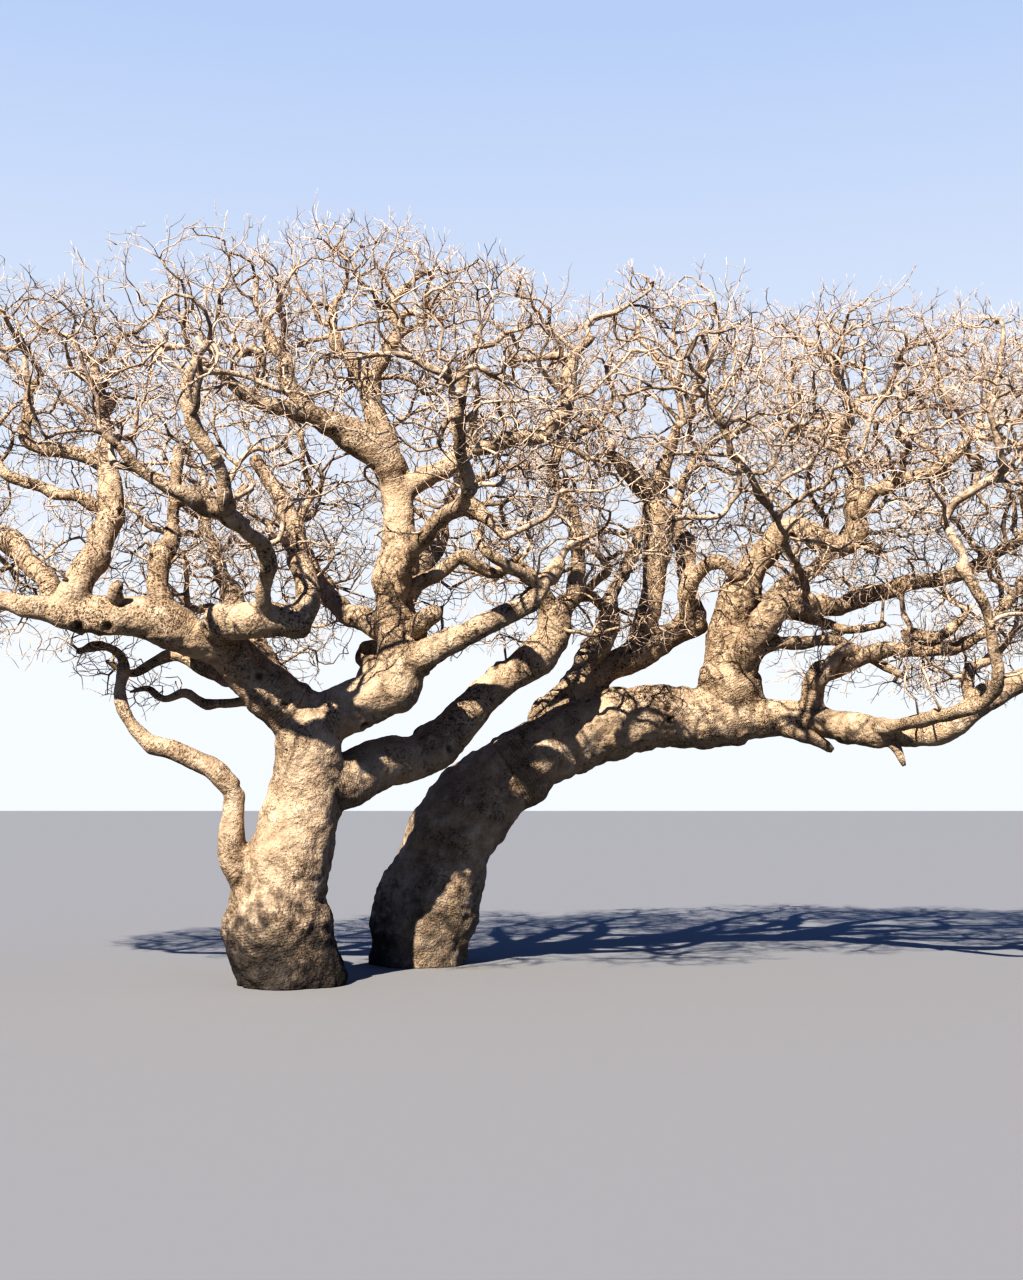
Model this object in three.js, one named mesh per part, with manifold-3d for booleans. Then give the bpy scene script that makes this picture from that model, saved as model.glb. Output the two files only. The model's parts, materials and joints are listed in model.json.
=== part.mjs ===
// A bare baobab: two trunks of one clump, swollen bent boughs, and the twig masses of its crown.
// The way points and thicknesses of the limbs are in metres; the solids come out in millimetres.
// The origin is the middle of the left trunk's flat cut, with +Y going away from the front.
import * as THREE from "three";
import { mergeVertices } from "three/addons/utils/BufferGeometryUtils.js";
import Module from "manifold-3d";

const wasm = await Module();
wasm.setup();

const METRE = 1000;
const SEAT_GAP = 0.3;
const LIMB_SIDES = 7;
const TRUNK_SIDES = 13;
const STEP_LENGTH = 0.52;
const FEWEST_STEPS = 4;
const MASS_DETAIL = 2;
const MASS_UNEVENNESS = 0.2;
const UNDERSIDE_SHARE = 0.8;
const FLARE_HEIGHT = 0.35;
const FLARE_SHARE = 0.07;
const FLARE_LOBES = 4;
const FLARE_TURN = 1;
const KNOBBLE_SHARE = 0.05;
const KNOBBLE_LENGTH = 0.55;
const KNOBBLE_LOBES = 2;
const MERGE_DISTANCE = 0.001;

// Waves over a mass's directions: how often they turn along X, Y and Z, how the mass's number
// shifts them, and their share of the unevenness.
const SLOW_WAVE = { x: 3.1, y: 2.7, z: 0, shift: 1.7, turn: -2.3, share: 0.6 };
const QUICK_WAVE = { x: 4.1, y: 4.7, z: 5.3, shift: 0.9, turn: 1, share: 0.4 };

// Finishes, as plain colours of the lit bark and of the pale twigs.
const BARK = { color: 0xa58d6e, roughness: 0.85, metalness: 0 };
const LOW_BARK = { color: 0x94806a, roughness: 0.9, metalness: 0 };
const TWIGS = { color: 0xb59c78, roughness: 0.9, metalness: 0 };

// Each trunk stands on the ground and leans by its way points; thick holds its width at each point.
const TRUNKS = [
  {
    name: "trunk_left",
    way: [[0, 0, 0], [-0.11, 0, 0.4], [-0.16, 0, 0.8], [-0.06, 0, 1.2], [0.05, 0, 1.6], [0.12, 0, 2.05], [0.12, 0, 2.6]],
    thick: [1.02, 1.08, 0.9, 0.77, 0.68, 0.68],
  },
  {
    name: "trunk_right",
    way: [[1.1, 2, 0], [1.15, 2, 0.4], [1.25, 2, 0.8], [1.5, 2, 1.45], [2.05, 2.05, 2.1]],
    thick: [1.06, 1.14, 1, 0.96, 0.88],
  },
];

// A limb starts on the middle line of the limb named on, at that share of its length, then follows its way.
// Its thick values are the width at the start and at each way point.
const LIMBS = [
  { name: "stem_low", on: "trunk_left", at: 0.3, way: [[-0.56, -0.12, 1.15], [-0.58, -0.15, 1.9]], thick: [0.5, 0.27, 0.21] },
  { name: "arm_low", on: "stem_low", at: 1, way: [[-0.88, -0.12, 2.15], [-1.45, -0.1, 2.35]], thick: [0.22, 0.19, 0.2] },
  { name: "tip_low", on: "arm_low", at: 0.96, way: [[-1.7, -0.1, 2.65], [-1.72, -0.1, 3.15], [-1.86, -0.15, 3.34], [-2.15, -0.25, 3.25]], thick: [0.17, 0.13, 0.12, 0.1, 0.07] },
  { name: "fork_left", on: "trunk_left", at: 0.98, way: [[-0.25, -0.1, 2.87], [-0.52, -0.2, 3.12], [-0.66, -0.3, 3.3]], thick: [0.6, 0.56, 0.5, 0.44] },
  { name: "fork_right", on: "trunk_left", at: 0.98, way: [[0.6, 0, 2.72], [0.98, 0, 2.98], [1.05, 0.08, 3.35]], thick: [0.58, 0.52, 0.5, 0.46] },
  { name: "bough_left", on: "fork_left", at: 0.95, way: [[-1.25, -0.58, 3.52], [-2.2, -0.8, 3.57]], thick: [0.4, 0.39, 0.27] },
  { name: "bough_left_tip", on: "bough_left", at: 0.97, way: [[-2.7, -0.82, 3.62], [-3.7, -0.9, 3.88]], thick: [0.24, 0.19, 0.11] },
  { name: "riser_left", on: "bough_left", at: 0.96, way: [[-1.95, -0.72, 4], [-1.79, -0.5, 4.55], [-1.95, -0.25, 5.3]], thick: [0.26, 0.26, 0.26, 0.18] },
  { name: "bough_left_back", on: "bough_left", at: 0.97, way: [[-2.7, -0.25, 4.2], [-3.5, 0.3, 4.75]], thick: [0.2, 0.2, 0.15] },
  { name: "riser_mid_left", on: "bough_left", at: 0.45, way: [[-1.28, -0.48, 4], [-1.2, -0.3, 4.5], [-1.15, -0.4, 5.3]], thick: [0.26, 0.19, 0.15, 0.12] },
  { name: "bulge_front", on: "fork_left", at: 0.9, way: [[-0.66, -0.7, 3.47], [-0.22, -0.92, 3.48], [0.2, -0.72, 3.5]], thick: [0.34, 0.33, 0.34, 0.27] },
  { name: "riser_front", on: "bulge_front", at: 0.94, way: [[0.22, -0.6, 3.8], [0.05, -0.4, 4.2], [-0.15, -0.2, 4.65], [-0.45, -0.15, 5.25]], thick: [0.26, 0.24, 0.22, 0.18, 0.13] },
  { name: "reach_right", on: "fork_right", at: 0.75, way: [[1.5, -0.2, 3.33], [2.3, -0.35, 3.72], [2.65, 0.15, 4.2]], thick: [0.32, 0.27, 0.18, 0.14] },
  { name: "riser_centre", on: "fork_right", at: 0.96, way: [[0.95, 0.15, 3.85], [1.02, 0.2, 4.35], [0.95, 0.3, 5]], thick: [0.44, 0.39, 0.35, 0.34] },
  { name: "bough_centre_left", on: "riser_centre", at: 0.93, way: [[0.75, 0.18, 5.4], [0.05, -0.15, 5.72]], thick: [0.33, 0.33, 0.24] },
  { name: "bough_centre_top", on: "riser_centre", at: 0.93, way: [[0.82, 0.45, 5.6], [0.6, 0.7, 6.2]], thick: [0.32, 0.26, 0.19] },
  { name: "bough_side", on: "riser_centre", at: 0.1, way: [[0.5, 0.45, 3.72], [0.12, 0.85, 4], [-0.35, 1.75, 4.9]], thick: [0.27, 0.24, 0.2, 0.13] },
  { name: "bough_snake", on: "riser_centre", at: 0.95, way: [[1.7, 0.1, 5.32], [2.5, 0, 5.5]], thick: [0.24, 0.18, 0.16] },
  { name: "link_low", on: "trunk_left", at: 0.72, way: [[0.7, 0.4, 2.1], [1.2, 0.8, 2.27], [1.65, 1.1, 2.7]], thick: [0.62, 0.56, 0.46, 0.42] },
  { name: "link_rising", on: "link_low", at: 0.97, way: [[2.13, 1.2, 3.15], [2.6, 1.2, 3.5], [2.62, 1.2, 3.95]], thick: [0.41, 0.39, 0.38, 0.3] },
  { name: "stem_thin", on: "link_rising", at: 0.7, way: [[2.9, 1.45, 4.3], [2.84, 1.6, 5.1]], thick: [0.24, 0.18, 0.15] },
  { name: "main_right", on: "trunk_right", at: 0.96, way: [[2.75, 2.2, 2.5], [3.55, 2.3, 2.7], [4.85, 2.4, 2.76]], thick: [0.86, 0.78, 0.72, 0.66] },
  { name: "bough_right", on: "main_right", at: 0.12, way: [[3, 2.4, 3.2], [3.7, 2.5, 3.55], [4.4, 2.6, 3.97]], thick: [0.48, 0.4, 0.35, 0.28] },
  { name: "riser_right", on: "bough_right", at: 0.66, way: [[3.82, 2.5, 4.3], [3.85, 2.45, 5.5]], thick: [0.31, 0.28, 0.27] },
  { name: "riser_right_back", on: "bough_right", at: 0.97, way: [[4.3, 3, 4.6], [4.2, 3.65, 5.45]], thick: [0.26, 0.24, 0.17] },
  { name: "knee_right", on: "main_right", at: 0.97, way: [[4.65, 2.4, 3.45], [4.76, 2.3, 4], [5, 2.2, 4.6]], thick: [0.68, 0.54, 0.47, 0.32] },
  { name: "bough_knee", on: "knee_right", at: 0.2, way: [[4.88, 1.98, 3.6], [5.15, 1.85, 4], [6, 2.35, 4.05]], thick: [0.38, 0.34, 0.28, 0.22] },
  { name: "bough_far_right", on: "bough_knee", at: 0.96, way: [[6.7, 2.65, 4.33], [7.85, 2.55, 4.65]], thick: [0.22, 0.2, 0.16] },
  { name: "bough_low_right", on: "main_right", at: 0.98, way: [[5.45, 2, 2.74], [6.2, 1.3, 2.52]], thick: [0.46, 0.34, 0.34] },
  { name: "tip_low_right", on: "bough_low_right", at: 0.96, way: [[6.66, 1.1, 2.54], [7.2, 0.85, 2.86], [8.2, 0.75, 3.35]], thick: [0.33, 0.28, 0.27, 0.17] },
  { name: "arch_low_right", on: "bough_low_right", at: 0.5, way: [[5.6, 1.85, 3.15], [6.25, 1.6, 3.42], [7.05, 1.3, 3.48], [7.75, 1.4, 4.1]], thick: [0.26, 0.2, 0.16, 0.14, 0.11] },
  { name: "crook_far_right", on: "knee_right", at: 0.96, way: [[5.3, 2.08, 4.88], [5.95, 1.7, 4.68], [6, 1.5, 5.15]], thick: [0.31, 0.25, 0.23, 0.19] },
  { name: "back_left", on: "fork_left", at: 0.5, way: [[-0.7, 1, 3.55], [-1.1, 2.1, 4.25]], thick: [0.42, 0.34, 0.22] },
  { name: "back_middle", on: "fork_right", at: 0.5, way: [[0.8, 1.2, 3.5], [1.1, 2.7, 4.6]], thick: [0.4, 0.32, 0.2] },
  { name: "front_left", on: "bulge_front", at: 0.7, way: [[-0.1, -1.5, 3.97], [-0.25, -2.2, 4.3], [-0.36, -2.6, 4.7]], thick: [0.26, 0.22, 0.18, 0.14] },
  { name: "front_middle", on: "riser_centre", at: 0.2, way: [[1.15, -0.4, 4.1], [1.5, -1, 4.45], [1.8, -1.9, 4.55]], thick: [0.26, 0.2, 0.17, 0.13] },
  { name: "back_right", on: "bough_right", at: 0.4, way: [[3.25, 3.3, 3.95], [3.6, 4, 4.75]], thick: [0.3, 0.24, 0.17] },
  { name: "front_right", on: "bough_knee", at: 0.7, way: [[5.35, 1.2, 4.25], [4.7, -0.3, 4.75]], thick: [0.22, 0.18, 0.14] },
  { name: "front_far_right", on: "bough_low_right", at: 0.85, way: [[6.45, 0.5, 2.62], [6.85, -0.3, 2.85], [6.75, -0.65, 3.6], [6.5, -0.6, 4.1]], thick: [0.26, 0.22, 0.18, 0.15, 0.12] },
  { name: "back_far_right", on: "knee_right", at: 0.4, way: [[5.3, 3.3, 4.2], [6.1, 3.9, 4.8]], thick: [0.34, 0.26, 0.18] },
];

// The twig masses: each an uneven ball with its middle and half sizes in metres.
const MASSES = [
  { name: "crown_main_top", middle: [0.5, 0.7, 6.9], half: [1.5, 1.6, 1.45] },
  { name: "crown_main_left", middle: [-1.05, -0.3, 6.45], half: [1.45, 1.7, 1.5] },
  { name: "crown_main_right", middle: [1.95, 0.2, 6.35], half: [1.4, 1.6, 1.4] },
  { name: "crown_left_top", middle: [-3, 0, 6.05], half: [1.45, 1.8, 1.45] },
  { name: "crown_left_out", middle: [-4.05, 0, 4.8], half: [1.35, 2, 1.4] },
  { name: "crown_front_left", middle: [-0.7, -2.7, 5], half: [1.65, 1.6, 1.25] },
  { name: "crown_front_middle", middle: [1.5, -2.6, 5.25], half: [1.5, 1.6, 1.35] },
  { name: "crown_back_left", middle: [-1.4, 2.7, 5.5], half: [2.1, 1.8, 1.7] },
  { name: "crown_back_middle", middle: [1.45, 3.4, 5.6], half: [1.6, 1.7, 1.65] },
  { name: "crown_right_top", middle: [3.8, 2.1, 6.65], half: [1.55, 1.8, 1.7] },
  { name: "crown_right_inner", middle: [2.8, 0.7, 4.95], half: [1, 1.3, 1] },
  { name: "crown_front_right", middle: [4, -1.2, 5.35], half: [1.65, 1.6, 1.45] },
  { name: "crown_back_right", middle: [4, 4.5, 5.6], half: [1.8, 1.5, 1.5] },
  { name: "crown_far_right", middle: [6.05, 1.9, 6.35], half: [1.6, 1.9, 1.6] },
  { name: "crown_right_out", middle: [7.95, 1.6, 5.6], half: [1.6, 2.1, 1.95] },
  { name: "crown_right_low", middle: [8.1, 0.4, 3.55], half: [1.4, 1.5, 0.65] },
  { name: "crown_front_far", middle: [6.4, -0.7, 5.05], half: [1.7, 1.5, 1.4] },
  { name: "crown_back_far", middle: [6.5, 4.2, 5.4], half: [1.75, 1.5, 1.5] },
];

const point = (metres) => new THREE.Vector3(...metres).multiplyScalar(METRE);

// The value at share t of a list of values spaced evenly along a limb.
function along(values, t) {
  const last = values.length - 1;
  const at = Math.min(Math.floor(t * last), last - 1);
  return THREE.MathUtils.lerp(values[at], values[at + 1], THREE.MathUtils.smoothstep(t * last - at, 0, 1));
}

// Rings of a cylinder bent along the course and swollen by the widths; grown adds to the radius and both ends.
function limbShape(course, thick, sides, grown, standing) {
  const length = course.getLength() / METRE;
  const steps = Math.max(FEWEST_STEPS, Math.round(length / STEP_LENGTH));
  const shape = new THREE.CylinderGeometry(1, 1, 1, sides, steps);
  const frames = course.computeFrenetFrames(steps, false);
  const places = shape.getAttribute("position");
  for (let i = 0; i < places.count; i++) {
    const t = THREE.MathUtils.clamp(places.getY(i) + 0.5, 0, 1);
    const ring = Math.round(t * steps);
    const turn = Math.atan2(places.getZ(i), places.getX(i));
    const outward = Math.hypot(places.getX(i), places.getZ(i));
    const height = t * length;
    const knobble = 1 + KNOBBLE_SHARE * Math.sin((height / KNOBBLE_LENGTH) * 2 * Math.PI + KNOBBLE_LOBES * turn);
    const flare = standing
      ? 1 + FLARE_SHARE * Math.exp(-height / FLARE_HEIGHT) * Math.cos(FLARE_LOBES * turn + FLARE_TURN)
      : 1;
    const radius = (along(thick, t) / 2) * METRE * knobble * flare + grown;
    const place = course.getPointAt(t);
    const tangent = standing && ring === 0 ? new THREE.Vector3(0, 0, 1) : frames.tangents[ring];
    const sideways = new THREE.Vector3(1, 0, 0).projectOnPlane(tangent).normalize();
    const normal = standing ? sideways : frames.normals[ring];
    const other = standing ? tangent.clone().cross(sideways) : frames.binormals[ring];
    place.addScaledVector(normal, outward * radius * Math.sin(turn));
    place.addScaledVector(other, outward * radius * Math.cos(turn));
    const end = ring === 0 ? -grown : ring === steps ? grown : 0;
    place.addScaledVector(tangent, end);
    places.setXYZ(i, place.x, place.y, place.z);
  }
  return shape;
}

// One wave at a direction, from -share to share, for the mass with this number.
function waveAt(wave, way, number) {
  const one = Math.sin(wave.x * way.x + wave.z * way.z + wave.shift * number);
  const other = Math.cos(wave.y * way.y + wave.turn * number);
  return wave.share * one * other;
}

// An uneven ball: a slow and a quick wave with phases from the number push its surface in and out.
function massShape(mass, number, grown) {
  const shape = new THREE.IcosahedronGeometry(1, MASS_DETAIL);
  const middle = point(mass.middle);
  const places = shape.getAttribute("position");
  for (let i = 0; i < places.count; i++) {
    const way = new THREE.Vector3().fromBufferAttribute(places, i).normalize();
    const waves = waveAt(SLOW_WAVE, way, number) + waveAt(QUICK_WAVE, way, number);
    const reach = 1 - MASS_UNEVENNESS + MASS_UNEVENNESS * waves;
    const tall = way.z < 0 ? UNDERSIDE_SHARE * mass.half[2] : mass.half[2];
    way.set(way.x * mass.half[0], way.y * mass.half[1], way.z * tall);
    const size = reach * METRE + grown / way.length();
    places.setXYZ(i, middle.x + way.x * size, middle.y + way.y * size, middle.z + way.z * size);
  }
  return shape;
}

function solidOf(shape) {
  const bare = shape.clone();
  bare.deleteAttribute("normal");
  bare.deleteAttribute("uv");
  const merged = mergeVertices(bare, MERGE_DISTANCE);
  return new wasm.Manifold(
    new wasm.Mesh({
      numProp: 3,
      vertProperties: merged.getAttribute("position").array,
      triVerts: new Uint32Array(merged.index.array),
    }),
  );
}

function largest(solid) {
  return solid.decompose().reduce((best, next) => (next.volume() > best.volume() ? next : best));
}

function meshOf(solid, name, finish) {
  const { vertProperties, triVerts } = solid.getMesh();
  const shape = new THREE.BufferGeometry();
  shape.setAttribute("position", new THREE.BufferAttribute(vertProperties, 3));
  shape.setIndex(new THREE.BufferAttribute(triVerts, 1));
  shape.computeVertexNormals();
  const mesh = new THREE.Mesh(shape, new THREE.MeshStandardMaterial(finish));
  mesh.name = name;
  return mesh;
}

const tree = new THREE.Group();
tree.name = "baobab_tree";
const courses = new Map();
const cutters = [];

// Takes away the grown form of everything made before, and keeps the largest piece that is left.
function seated(solid) {
  let left = solid;
  for (const cutter of cutters) left = left.subtract(cutter);
  return largest(left);
}

for (const trunk of TRUNKS) {
  const course = new THREE.CatmullRomCurve3(trunk.way.map(point), false, "centripetal");
  courses.set(trunk.name, course);
  const solid = seated(solidOf(limbShape(course, trunk.thick, TRUNK_SIDES, 0, true)));
  tree.add(meshOf(solid, trunk.name, LOW_BARK));
  cutters.push(solidOf(limbShape(course, trunk.thick, TRUNK_SIDES, SEAT_GAP, true)));
}

for (const limb of LIMBS) {
  const start = courses.get(limb.on).getPointAt(limb.at);
  const course = new THREE.CatmullRomCurve3([start, ...limb.way.map(point)], false, "centripetal");
  courses.set(limb.name, course);
  const solid = seated(solidOf(limbShape(course, limb.thick, LIMB_SIDES, 0, false)));
  tree.add(meshOf(solid, limb.name, BARK));
  cutters.push(solidOf(limbShape(course, limb.thick, LIMB_SIDES, SEAT_GAP, false)));
}

MASSES.forEach((mass, number) => {
  const solid = seated(solidOf(massShape(mass, number, 0)));
  tree.add(meshOf(solid, mass.name, TWIGS));
  cutters.push(solidOf(massShape(mass, number, SEAT_GAP)));
});

export default tree;
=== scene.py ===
"""The looks of a bare baobab: barky trunks and boughs, inner boughs and a crown of fine twigs.

Every size is in metres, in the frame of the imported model: the origin is the middle of the left
trunk's flat cut, +X goes right, +Y away from the viewer and +Z up.
"""
import json
import logging
import math
from dataclasses import dataclass
from enum import Enum, IntEnum

import bmesh
import bpy
import numpy as np
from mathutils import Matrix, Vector

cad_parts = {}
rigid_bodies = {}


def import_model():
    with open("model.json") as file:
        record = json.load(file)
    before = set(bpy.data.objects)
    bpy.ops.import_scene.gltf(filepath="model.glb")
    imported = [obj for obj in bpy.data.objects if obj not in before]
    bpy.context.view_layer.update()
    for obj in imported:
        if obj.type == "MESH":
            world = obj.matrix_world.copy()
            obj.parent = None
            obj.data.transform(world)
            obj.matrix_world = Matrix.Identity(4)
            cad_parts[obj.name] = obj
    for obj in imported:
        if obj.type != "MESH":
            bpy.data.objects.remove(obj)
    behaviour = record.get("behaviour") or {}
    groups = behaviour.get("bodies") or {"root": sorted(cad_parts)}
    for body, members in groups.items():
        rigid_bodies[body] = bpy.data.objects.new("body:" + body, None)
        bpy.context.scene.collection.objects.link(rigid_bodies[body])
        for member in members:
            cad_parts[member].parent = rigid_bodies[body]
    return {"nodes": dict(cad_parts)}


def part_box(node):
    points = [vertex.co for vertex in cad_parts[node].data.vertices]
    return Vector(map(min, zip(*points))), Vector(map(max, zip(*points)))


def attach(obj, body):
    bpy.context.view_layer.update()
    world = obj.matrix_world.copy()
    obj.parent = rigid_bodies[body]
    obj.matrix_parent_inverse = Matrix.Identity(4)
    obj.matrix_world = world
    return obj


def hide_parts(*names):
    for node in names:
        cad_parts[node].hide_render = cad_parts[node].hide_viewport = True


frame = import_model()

LOG = logging.getLogger("baobab")
BODY = "root"
SEED = 20
# The noise's mixing numbers: one for each axis, for the seed, for the last mixing, and a shift.
AXIS_MIX = (73856093, 19349663, 83492791)
SEED_MIX = 2654435
LAST_MIX = 1274126177
SEED_SHIFT = 17.31
# How many points a smooth course's span is worked out at.
SPAN_POINTS = 33
# How many places are compared with the others at a time, which keeps the memory small.
ROWS_AT_ONCE = 4000


class Side(Enum):
    """Which trunk a limb grows from."""

    LEFT = "trunk_left"
    RIGHT = "trunk_right"


class Pattern(IntEnum):
    """The seeds of the noises, so that each one has a pattern of its own."""

    LUMPS = 3
    DENTS = 4
    RINGS = 5
    GRAIN = 6
    FOOT_LUMPS = 7
    FOOT_GRAIN = 8
    SPRAY = 9
    TWIG_WIDTH = 12
    TWIG_BEND = 21
    LIMB_BEND = 40
    LIMB_KINK = 140


@dataclass(frozen=True)
class Limb:
    """One limb: where it starts on another limb, its way points, and its widths along the way.

    on is empty for a trunk, whose way starts at the ground. at is the share of the other limb's
    length where this one starts. thick holds the widths, spaced evenly along the length.
    """

    name: str
    on: str
    at: float
    way: tuple
    thick: tuple


TRUNKS = (
    Limb("trunk_left", "", 0, ((0, 0, 0), (-0.11, 0, 0.4), (-0.16, 0, 0.8), (-0.06, 0, 1.2),
         (0.05, 0, 1.6), (0.12, 0, 2.05), (0.12, 0, 2.6)), (1.02, 1.08, 0.9, 0.77, 0.68, 0.68)),
    Limb("trunk_right", "", 0, ((1.1, 2, 0), (1.15, 2, 0.4), (1.25, 2, 0.8), (1.5, 2, 1.45),
         (2.05, 2.05, 2.1)), (1.06, 1.14, 1, 0.96, 0.88)),
)

LIMBS = (
    Limb("stem_low", "trunk_left", 0.3, ((-0.56, -0.12, 1.15), (-0.58, -0.15, 1.9)), (0.5, 0.27, 0.21)),
    Limb("arm_low", "stem_low", 1, ((-0.88, -0.12, 2.15), (-1.45, -0.1, 2.35)), (0.22, 0.19, 0.2)),
    Limb("tip_low", "arm_low", 0.96, ((-1.7, -0.1, 2.65), (-1.72, -0.1, 3.15), (-1.86, -0.15, 3.34),
         (-2.15, -0.25, 3.25)), (0.17, 0.13, 0.12, 0.1, 0.07)),
    Limb("fork_left", "trunk_left", 0.98, ((-0.25, -0.1, 2.87), (-0.52, -0.2, 3.12), (-0.66, -0.3, 3.3)),
         (0.6, 0.56, 0.5, 0.44)),
    Limb("fork_right", "trunk_left", 0.98, ((0.6, 0, 2.72), (0.98, 0, 2.98), (1.05, 0.08, 3.35)),
         (0.58, 0.52, 0.5, 0.46)),
    Limb("bough_left", "fork_left", 0.95, ((-1.25, -0.58, 3.52), (-2.2, -0.8, 3.57)), (0.4, 0.39, 0.27)),
    Limb("bough_left_tip", "bough_left", 0.97, ((-2.7, -0.82, 3.62), (-3.7, -0.9, 3.88)),
         (0.24, 0.19, 0.11)),
    Limb("riser_left", "bough_left", 0.96, ((-1.95, -0.72, 4), (-1.79, -0.5, 4.55), (-1.95, -0.25, 5.3)),
         (0.26, 0.26, 0.26, 0.18)),
    Limb("bough_left_back", "bough_left", 0.97, ((-2.7, -0.25, 4.2), (-3.5, 0.3, 4.75)),
         (0.2, 0.2, 0.15)),
    Limb("riser_mid_left", "bough_left", 0.45, ((-1.28, -0.48, 4), (-1.2, -0.3, 4.5), (-1.15, -0.4, 5.3)),
         (0.26, 0.19, 0.15, 0.12)),
    Limb("bulge_front", "fork_left", 0.9, ((-0.66, -0.7, 3.47), (-0.22, -0.92, 3.48), (0.2, -0.72, 3.5)),
         (0.34, 0.33, 0.34, 0.27)),
    Limb("riser_front", "bulge_front", 0.94, ((0.22, -0.6, 3.8), (0.05, -0.4, 4.2), (-0.15, -0.2, 4.65),
         (-0.45, -0.15, 5.25)), (0.26, 0.24, 0.22, 0.18, 0.13)),
    Limb("reach_right", "fork_right", 0.75, ((1.5, -0.2, 3.33), (2.3, -0.35, 3.72), (2.65, 0.15, 4.2)),
         (0.32, 0.27, 0.18, 0.14)),
    Limb("riser_centre", "fork_right", 0.96, ((0.95, 0.15, 3.85), (1.02, 0.2, 4.35), (0.95, 0.3, 5)),
         (0.44, 0.39, 0.35, 0.34)),
    Limb("bough_centre_left", "riser_centre", 0.93, ((0.75, 0.18, 5.4), (0.05, -0.15, 5.72)),
         (0.33, 0.33, 0.24)),
    Limb("bough_centre_top", "riser_centre", 0.93, ((0.82, 0.45, 5.6), (0.6, 0.7, 6.2)),
         (0.32, 0.26, 0.19)),
    Limb("bough_side", "riser_centre", 0.1, ((0.5, 0.45, 3.72), (0.12, 0.85, 4), (-0.35, 1.75, 4.9)),
         (0.27, 0.24, 0.2, 0.13)),
    Limb("bough_snake", "riser_centre", 0.95, ((1.7, 0.1, 5.32), (2.5, 0, 5.5)), (0.24, 0.18, 0.16)),
    Limb("link_low", "trunk_left", 0.72, ((0.7, 0.4, 2.1), (1.2, 0.8, 2.27), (1.65, 1.1, 2.7)),
         (0.62, 0.56, 0.46, 0.42)),
    Limb("link_rising", "link_low", 0.97, ((2.13, 1.2, 3.15), (2.6, 1.2, 3.5), (2.62, 1.2, 3.95)),
         (0.41, 0.39, 0.38, 0.3)),
    Limb("stem_thin", "link_rising", 0.7, ((2.9, 1.45, 4.3), (2.84, 1.6, 5.1)), (0.24, 0.18, 0.15)),
    Limb("main_right", "trunk_right", 0.96, ((2.75, 2.2, 2.5), (3.55, 2.3, 2.7), (4.85, 2.4, 2.76)),
         (0.86, 0.78, 0.72, 0.66)),
    Limb("bough_right", "main_right", 0.12, ((3, 2.4, 3.2), (3.7, 2.5, 3.55), (4.4, 2.6, 3.97)),
         (0.48, 0.4, 0.35, 0.28)),
    Limb("riser_right", "bough_right", 0.66, ((3.82, 2.5, 4.3), (3.85, 2.45, 5.5)), (0.31, 0.28, 0.27)),
    Limb("riser_right_back", "bough_right", 0.97, ((4.3, 3, 4.6), (4.2, 3.65, 5.45)), (0.26, 0.24, 0.17)),
    Limb("knee_right", "main_right", 0.97, ((4.65, 2.4, 3.45), (4.76, 2.3, 4), (5, 2.2, 4.6)),
         (0.68, 0.54, 0.47, 0.32)),
    Limb("bough_knee", "knee_right", 0.2, ((4.88, 1.98, 3.6), (5.15, 1.85, 4), (6, 2.35, 4.05)),
         (0.38, 0.34, 0.28, 0.22)),
    Limb("bough_far_right", "bough_knee", 0.96, ((6.7, 2.65, 4.33), (7.85, 2.55, 4.65)),
         (0.22, 0.2, 0.16)),
    Limb("bough_low_right", "main_right", 0.98, ((5.45, 2, 2.74), (6.2, 1.3, 2.52)), (0.46, 0.34, 0.34)),
    Limb("tip_low_right", "bough_low_right", 0.96, ((6.66, 1.1, 2.54), (7.2, 0.85, 2.86),
         (8.2, 0.75, 3.35)), (0.33, 0.28, 0.27, 0.17)),
    Limb("arch_low_right", "bough_low_right", 0.5, ((5.6, 1.85, 3.15), (6.25, 1.6, 3.42),
         (7.05, 1.3, 3.48), (7.75, 1.4, 4.1)), (0.26, 0.2, 0.16, 0.14, 0.11)),
    Limb("crook_far_right", "knee_right", 0.96, ((5.3, 2.08, 4.88), (5.95, 1.7, 4.68), (6, 1.5, 5.15)),
         (0.31, 0.25, 0.23, 0.19)),
    Limb("back_left", "fork_left", 0.5, ((-0.7, 1, 3.55), (-1.1, 2.1, 4.25)), (0.42, 0.34, 0.22)),
    Limb("back_middle", "fork_right", 0.5, ((0.8, 1.2, 3.5), (1.1, 2.7, 4.6)), (0.4, 0.32, 0.2)),
    Limb("front_left", "bulge_front", 0.7, ((-0.1, -1.5, 3.97), (-0.25, -2.2, 4.3), (-0.36, -2.6, 4.7)),
         (0.17, 0.15, 0.13, 0.11)),
    Limb("front_middle", "riser_centre", 0.2, ((1.15, -0.4, 4.1), (1.5, -1, 4.45), (1.8, -1.9, 4.55)),
         (0.18, 0.15, 0.13, 0.11)),
    Limb("back_right", "bough_right", 0.4, ((3.25, 3.3, 3.95), (3.6, 4, 4.75)), (0.3, 0.24, 0.17)),
    Limb("front_right", "bough_knee", 0.7, ((5.35, 1.2, 4.25), (4.7, -0.3, 4.75)), (0.1, 0.08, 0.06)),
    Limb("front_far_right", "bough_low_right", 0.85, ((6.45, 0.5, 2.62), (6.85, -0.3, 2.85),
         (6.75, -0.65, 3.6), (6.5, -0.6, 4.1)), (0.2, 0.16, 0.13, 0.12, 0.1)),
    Limb("back_far_right", "knee_right", 0.4, ((5.3, 3.3, 4.2), (6.1, 3.9, 4.8)), (0.34, 0.26, 0.18)),
)

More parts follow.
